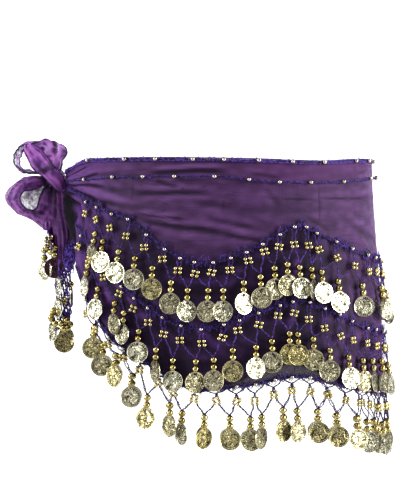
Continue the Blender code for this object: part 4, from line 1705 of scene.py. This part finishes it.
CHIFFON = {
    "deep": (0.028, 0.0105, 0.040),
    "plum": (0.052, 0.0185, 0.071),
    "band": (0.058, 0.0170, 0.075),
    "under_net": (0.009, 0.004, 0.015),
    "gathered": (0.100, 0.033, 0.170),
    "trough": (0.007, 0.003, 0.012),
    "ridge": (0.150, 0.064, 0.210),
    "ridge_under_net": (0.110, 0.040, 0.210),
    "shut_in": (0.002, 0.001, 0.004),
}
BOW_CHIFFON = {
    "deep": (0.110, 0.020, 0.180),
    "bright": (0.270, 0.052, 0.335),
    "trough": (0.008, 0.002, 0.017),
    "ridge": (0.560, 0.280, 0.700),
    "painted_light_through": (0.600, 0.310, 0.790),
}
# Each crochet thread's colour where it lies double and where it lies single
THREAD_COLOURS = {
    "edging": ((0.005, 0.002, 0.018), (0.052, 0.021, 0.190)),
    "dark_edging": ((0.003, 0.0015, 0.009), (0.030, 0.013, 0.110)),
    "net": ((0.010, 0.004, 0.038), (0.085, 0.034, 0.280)),
    # painted light: the lace and net of the hanging end get lighter colours than the other nets, though they hang
    # in shade
    "lace": ((0.014, 0.006, 0.052), (0.125, 0.055, 0.420)),
}
BEAD_COLOURS = {
    "brass": (0.25, 0.195, 0.060),
    "gilt": (0.46, 0.385, 0.160),
    "silvered": (0.43, 0.37, 0.34),
    "worn": (0.25, 0.20, 0.07),
}
WEAVE_PITCH = 0.0007
# A wave texture's scale for one band to the metre
BAND_A_METRE = 0.31416


def weave_height(finish, uv):
    """Crossing threads of a plain weave over a flat UV in metres."""
    inputs = {"Scale": BAND_A_METRE / WEAVE_PITCH / 2, "Distortion": 0.6, "Vector": uv}
    across, along = (finish.value("TexWave", "Fac", inputs, bands_direction=direction) for direction in "XY")
    return across * along


def thin_creases(finish, uv):
    """Sharp thin creases that run mostly along the cloth, broken into short stretches."""
    near = finish.calc("ABSOLUTE", finish.grain(uv, 13, 2, (1, 7.5, 1)) - 0.5)
    line = 1.0 - near.spread(0.004, 0.022)
    return line * finish.grain(uv, 9, 1, (1, 1.8, 1)).spread(0.42, 0.62)


def chiffon_finish():
    """Purple chiffon: plum, pinker in the single upper band, with painted shade under the nets, in the hollows of
    its folds and in the deep fold by the knot, and painted light on its ridges, near the knot and on the wearer's
    left side.
    """
    finish = Finish("chiffon")
    uv = finish.uv("flat")
    broad = finish.grain(uv, 16, 4, (1, 2.6, 1))
    fine = finish.grain(uv, 240, 3, (1, 3.2, 1))
    cloudy = broad * 0.75 + fine * 0.25
    colour = finish.mixed(cloudy.spread(0.32, 0.68), CHIFFON["deep"], CHIFFON["plum"])
    # the upper band is the cloth's own pinker tone; the others are painted: shade under the nets, light near the
    # knot and on the wearer's left side, shade in the hollows of the folds
    for tone, share in (("band", 0.8), ("under_net", 0.85), ("gathered", 0.8), ("trough", 0.88)):
        colour = finish.mixed(finish.tone(tone) * share, colour, CHIFFON[tone])
    # painted highlights on the ridges of the folds, more violet where shade under the nets is painted
    violet = finish.mixed(finish.tone("under_net"), CHIFFON["ridge"], CHIFFON["ridge_under_net"])
    colour = finish.mixed(finish.tone("ridge") * 0.5, colour, violet)
    # painted shade along the thin pressed creases
    pressed = thin_creases(finish, uv)
    colour = finish.mixed(pressed * 0.34, colour, CHIFFON["trough"])
    # painted shadow, nearly black, in the deep fold beside the knot
    colour = finish.mixed(finish.tone("shut_in"), colour, CHIFFON["shut_in"])
    finish.set({
        "Base Color": colour, "Alpha": finish.tone("solid"), "Roughness": 0.62, "Specular IOR Level": 0.10,
        "Sheen Weight": 0.18, "Sheen Roughness": 0.2, "Sheen Tint": (0.62, 0.40, 0.95),
    })
    finish.raised(weave_height(finish, uv) + fine * 1.5 - pressed * 1.6, 0.00025, 0.6)
    return finish.material


def bow_cloth_finish():
    """The same chiffon with the light on it and through it painted in: brighter, and sheer where it is spread
    out.
    """
    finish = Finish("bow_chiffon")
    uv = finish.uv("flat")
    crinkled = finish.grain(uv, 70, 4, (1, 3.4, 1))
    cloudy = finish.grain(finish.place(), 62, 4) * 0.55 + crinkled * 0.45
    colour = finish.mixed(cloudy.spread(0.40, 0.60), BOW_CHIFFON["deep"], BOW_CHIFFON["bright"])
    # painted shade in the troughs and painted highlights on the ridges
    for tone, share in (("trough", 0.94), ("ridge", 0.28)):
        colour = finish.mixed(finish.tone(tone) * share, colour, BOW_CHIFFON[tone])
    open_share = 1.0 - finish.tone("solid")
    # painted light through the cloth: where it is sheer its colour turns to a light lavender
    sheer = finish.calc("MULTIPLY", open_share, 1.1, clamp=True)
    # where it is sheer, fine crinkles cover more and less
    crimped = (crinkled - 0.5) + (finish.grain(uv, 330, 3, (1, 2.0, 1)) - 0.5)
    cover = finish.calc("ADD", finish.tone("solid"), open_share * (crimped * 2.6), clamp=True)
    finish.set({
        "Base Color": finish.mixed(sheer, colour, BOW_CHIFFON["painted_light_through"]), "Alpha": cover,
        "Roughness": 0.55, "Specular IOR Level": 0.25,
        "Sheen Weight": 0.12, "Sheen Roughness": 0.3, "Sheen Tint": (0.75, 0.45, 1.0),
    })
    finish.raised(weave_height(finish, uv) + crinkled * 11.0, 0.0002, 0.7)
    return finish.material


def thread_finish(name, dark, bright):
    """Crochet cotton: blue violet, nearly black where it lies double."""
    finish = Finish(name)
    place = finish.place()
    finish.set({
        "Base Color": finish.mixed(finish.grain(place, 430, 3).spread(0.42, 0.60), dark, bright),
        "Roughness": 0.6, "Specular IOR Level": 0.2, "Sheen Weight": 0.06, "Sheen Tint": (0.55, 0.45, 1.0),
    })
    finish.raised(finish.grain(place, 2600, 2), 0.0002, 0.7)
    return finish.material


def bead_finish():
    """Gilt beads: bright highlights over an olive brass."""
    finish = Finish("gilt_beads")
    tone = finish.tone("tone")
    colour = finish.mixed(tone, BEAD_COLOURS["brass"], BEAD_COLOURS["gilt"])
    colour = finish.mixed(finish.calc("SUBTRACT", tone, 1.0, clamp=True), colour, BEAD_COLOURS["silvered"])
    wear = finish.grain(finish.place(), 420, 2).spread(0.58, 0.72)
    finish.set({
        "Base Color": finish.mixed(wear * 0.5, colour, BEAD_COLOURS["worn"]),
        "Metallic": 1.0, "Roughness": 0.12,
    })
    return finish.material


COIN_COLOURS = {
    "high": (0.90, 0.88, 0.68),
    "low": (0.060, 0.055, 0.026),
    "gilt": (0.54, 0.455, 0.17),
    "dull_high": (0.36, 0.300, 0.125),
    "dull_low": (0.028, 0.023, 0.010),
    "painted_cloth_reflection": (0.130, 0.040, 0.085),
}


def coin_finish():
    """Stamped coins: a ring of dots inside the rim and worn strokes on the face, dark in the hollows."""
    finish = Finish("stamped_coins")
    calc, mixed = finish.calc, finish.mixed
    uv, dull = finish.uv("face"), finish.tone("tone")
    centred = finish.vector("SUBTRACT", uv, (0.5, 0.5, 0))
    x, y, _ = finish.parts(centred)
    radius = finish.vector("LENGTH", centred, output="Value") * 2.0
    rim = radius.spread(0.90, 0.95)

    # dots inside the rim
    from_ring = calc("ABSOLUTE", radius - 0.83)
    dots = calc("SINE", calc("ARCTAN2", y, x) * 26.0).spread(-0.3, 0.6)
    dots *= calc("SUBTRACT", 1.0, from_ring * 12.0, clamp=True)

    # strokes that differ from coin to coin
    shifted = finish.vector("ADD", uv, finish.value("CombineXYZ", 0, {"X": dull * 37.0, "Y": dull * 91.0}))
    warp = finish.value("TexNoise", "Color", {"Scale": 5.0, "Vector": shifted})
    bent = finish.vector("MULTIPLY_ADD", warp, (0.22, 0.22, 0), shifted)
    strokes = finish.value("TexVoronoi", "Distance", {"Scale": 7.2, "Vector": bent}, feature="DISTANCE_TO_EDGE")
    breaks = finish.grain(shifted, 9, 1).spread(0.50, 0.60)
    figure = calc("MAXIMUM", strokes.spread(0.06, 0.22), breaks) * (1.0 - radius.spread(0.66, 0.74))
    high = calc("MAXIMUM", calc("MAXIMUM", figure, dots), rim)

    worn = finish.grain(shifted, 3.2, 3).spread(0.38, 0.68)
    tarnish = calc("MULTIPLY", 1.0 - high, worn * 0.4 + 0.6, clamp=True)
    tarnish = calc("ADD", tarnish, worn * 0.36, clamp=True)
    gilding = calc("FRACT", dull * 17.3).spread(0.55, 0.75) * dull.spread(0.12, 0.22)
    bright = mixed(dull, COIN_COLOURS["high"], COIN_COLOURS["dull_high"])
    bright = mixed(gilding * 0.7, bright, COIN_COLOURS["gilt"])
    # painted reflection and shade: a coin with a dullness over 0.95 takes the dark purple of the shaded cloth it
    # reflects
    bright = mixed(calc("GREATER_THAN", dull, 0.95), bright, COIN_COLOURS["painted_cloth_reflection"])
    dark = mixed(dull, COIN_COLOURS["low"], COIN_COLOURS["dull_low"])
    finish.set({"Base Color": mixed(tarnish, bright, dark), "Metallic": 1.0, "Roughness": tarnish * 0.2 + 0.23})
    finish.raised(high + finish.grain(shifted, 4.2, 1) * 4.2, 0.00028, 0.95)
    return finish.material


# ---------------------------------------------------------------- room

LIT_PLACE = Vector((0, 0, -0.12))
# Places and sizes in metres, power in watts
LIGHTS = table(
    "name place width height power",
    ("front_panel", (-0.5, -3.3, 0.75), 1.9, 1.1, 11.0),
    ("soft_above", (-0.7, -1.3, 1.9), 0.8, 0.6, 17),
    ("soft_left", (-2.7, -0.8, 0.4), 1.5, 1.9, 100),
    ("soft_right", (2.8, -0.8, 0.4), 1.5, 1.9, 178),
    ("back_rim", (1.3, 1.8, 0.7), 1.2, 1.2, 40),
    ("back_left", (-1.4, 1.7, 0.6), 1.0, 1.2, 34),
)
FLOOR_HEIGHT = -0.95
FLOOR_HALF = 4
LENS = 213.3
SENSOR = 36


def add_to_scene(name, data, place=(0, 0, 0)):
    made = bpy.data.objects.new(name, data)
    made.location = place
    bpy.context.scene.collection.objects.link(made)
    return made


def add_camera():
    data = bpy.data.cameras.new("Camera")
    data.lens, data.sensor_width = LENS, SENSOR
    camera = add_to_scene("Camera", data, Vector((EYE_X, -EYE_AWAY, EYE_HEIGHT)) * MM)
    camera.rotation_euler = (math.radians(90), 0, 0)
    bpy.context.scene.camera = camera


def add_floor():
    bm = bmesh.new()
    bmesh.ops.create_grid(bm, x_segments=1, y_segments=1, size=FLOOR_HALF)
    bmesh.ops.translate(bm, vec=(0, 0, FLOOR_HEIGHT), verts=bm.verts)
    floor = add_to_scene("floor", mesh_of("floor", bm))
    finish = Finish("pale_floor")
    finish.set({"Base Color": (0.64, 0.63, 0.62), "Roughness": 0.7})
    floor.data.materials.append(finish.material)


def add_world():
    """A white studio to the camera, and dimmer to all that the scarf reflects."""
    world = bpy.data.worlds.new("studio")
    world.use_nodes = True
    nodes = Nodes(world.node_tree)
    _, y, z = nodes.parts(nodes.value("TexCoord", "Generated"))
    around = nodes.mixed(z.spread(-0.35, 0.75), (0.05, 0.05, 0.055), (0.32, 0.32, 0.34))
    around = nodes.mixed(y.spread(0.1, 0.8) * 0.6, around, (0.0, 0.0, 0.0))
    seen = nodes.value("LightPath", "Is Camera Ray")
    nodes.join(nodes.mixed(seen, around, (1.6, 1.6, 1.6)), nodes.tree.nodes["Background"].inputs["Color"])
    bpy.context.scene.world = world


def add_room():
    add_camera()
    add_floor()
    add_world()
    bpy.context.scene.view_settings.view_transform = "Standard"
    for light in LIGHTS:
        data = bpy.data.lights.new(light.name, "AREA")
        data.shape, data.size, data.size_y, data.energy = "RECTANGLE", light.width, light.height, light.power
        lamp = add_to_scene(light.name, data, light.place)
        lamp.rotation_euler = (LIT_PLACE - Vector(light.place)).to_track_quat("-Z", "Y").to_euler()


def main():
    finishes = {"chiffon": chiffon_finish(), "bow_cloth": bow_cloth_finish()}
    for name, colours in THREAD_COLOURS.items():
        finishes[name] = thread_finish(name + "_thread", *colours)
    finishes |= {"beads": bead_finish(), "coins": coin_finish()}
    shapes = {
        "small_bead": bead_shape(CLUSTER_BEAD, 10, 6),
        "line_bead": bead_shape(LINE_BEAD, 12, 8),
        "drop_bead": bead_shape(DROP_BEAD, 14, 9),
        "coin": coin_shape(),
    }
    wrap = add_wrap(finishes["chiffon"])
    add_upper_lines(finishes, shapes)
    for row in ROWS:
        add_row(row, finishes, shapes)
    core = add_bunch("knot_gathered_core", 110, 60, in_knot, finishes["bow_cloth"], ("knot_core",))
    for ribbon in RIBBONS:
        add_ribbon(ribbon, finishes["bow_cloth"], finishes["dark_edging"])
    tuck = add_bunch("loop_end_tuck", 80, 44, in_tuck, finishes["bow_cloth"])
    add_hanging_end(finishes)
    add_hanging_trim(finishes, shapes)
    add_room()
    for shape in shapes.values():
        bpy.data.meshes.remove(shape)


main()
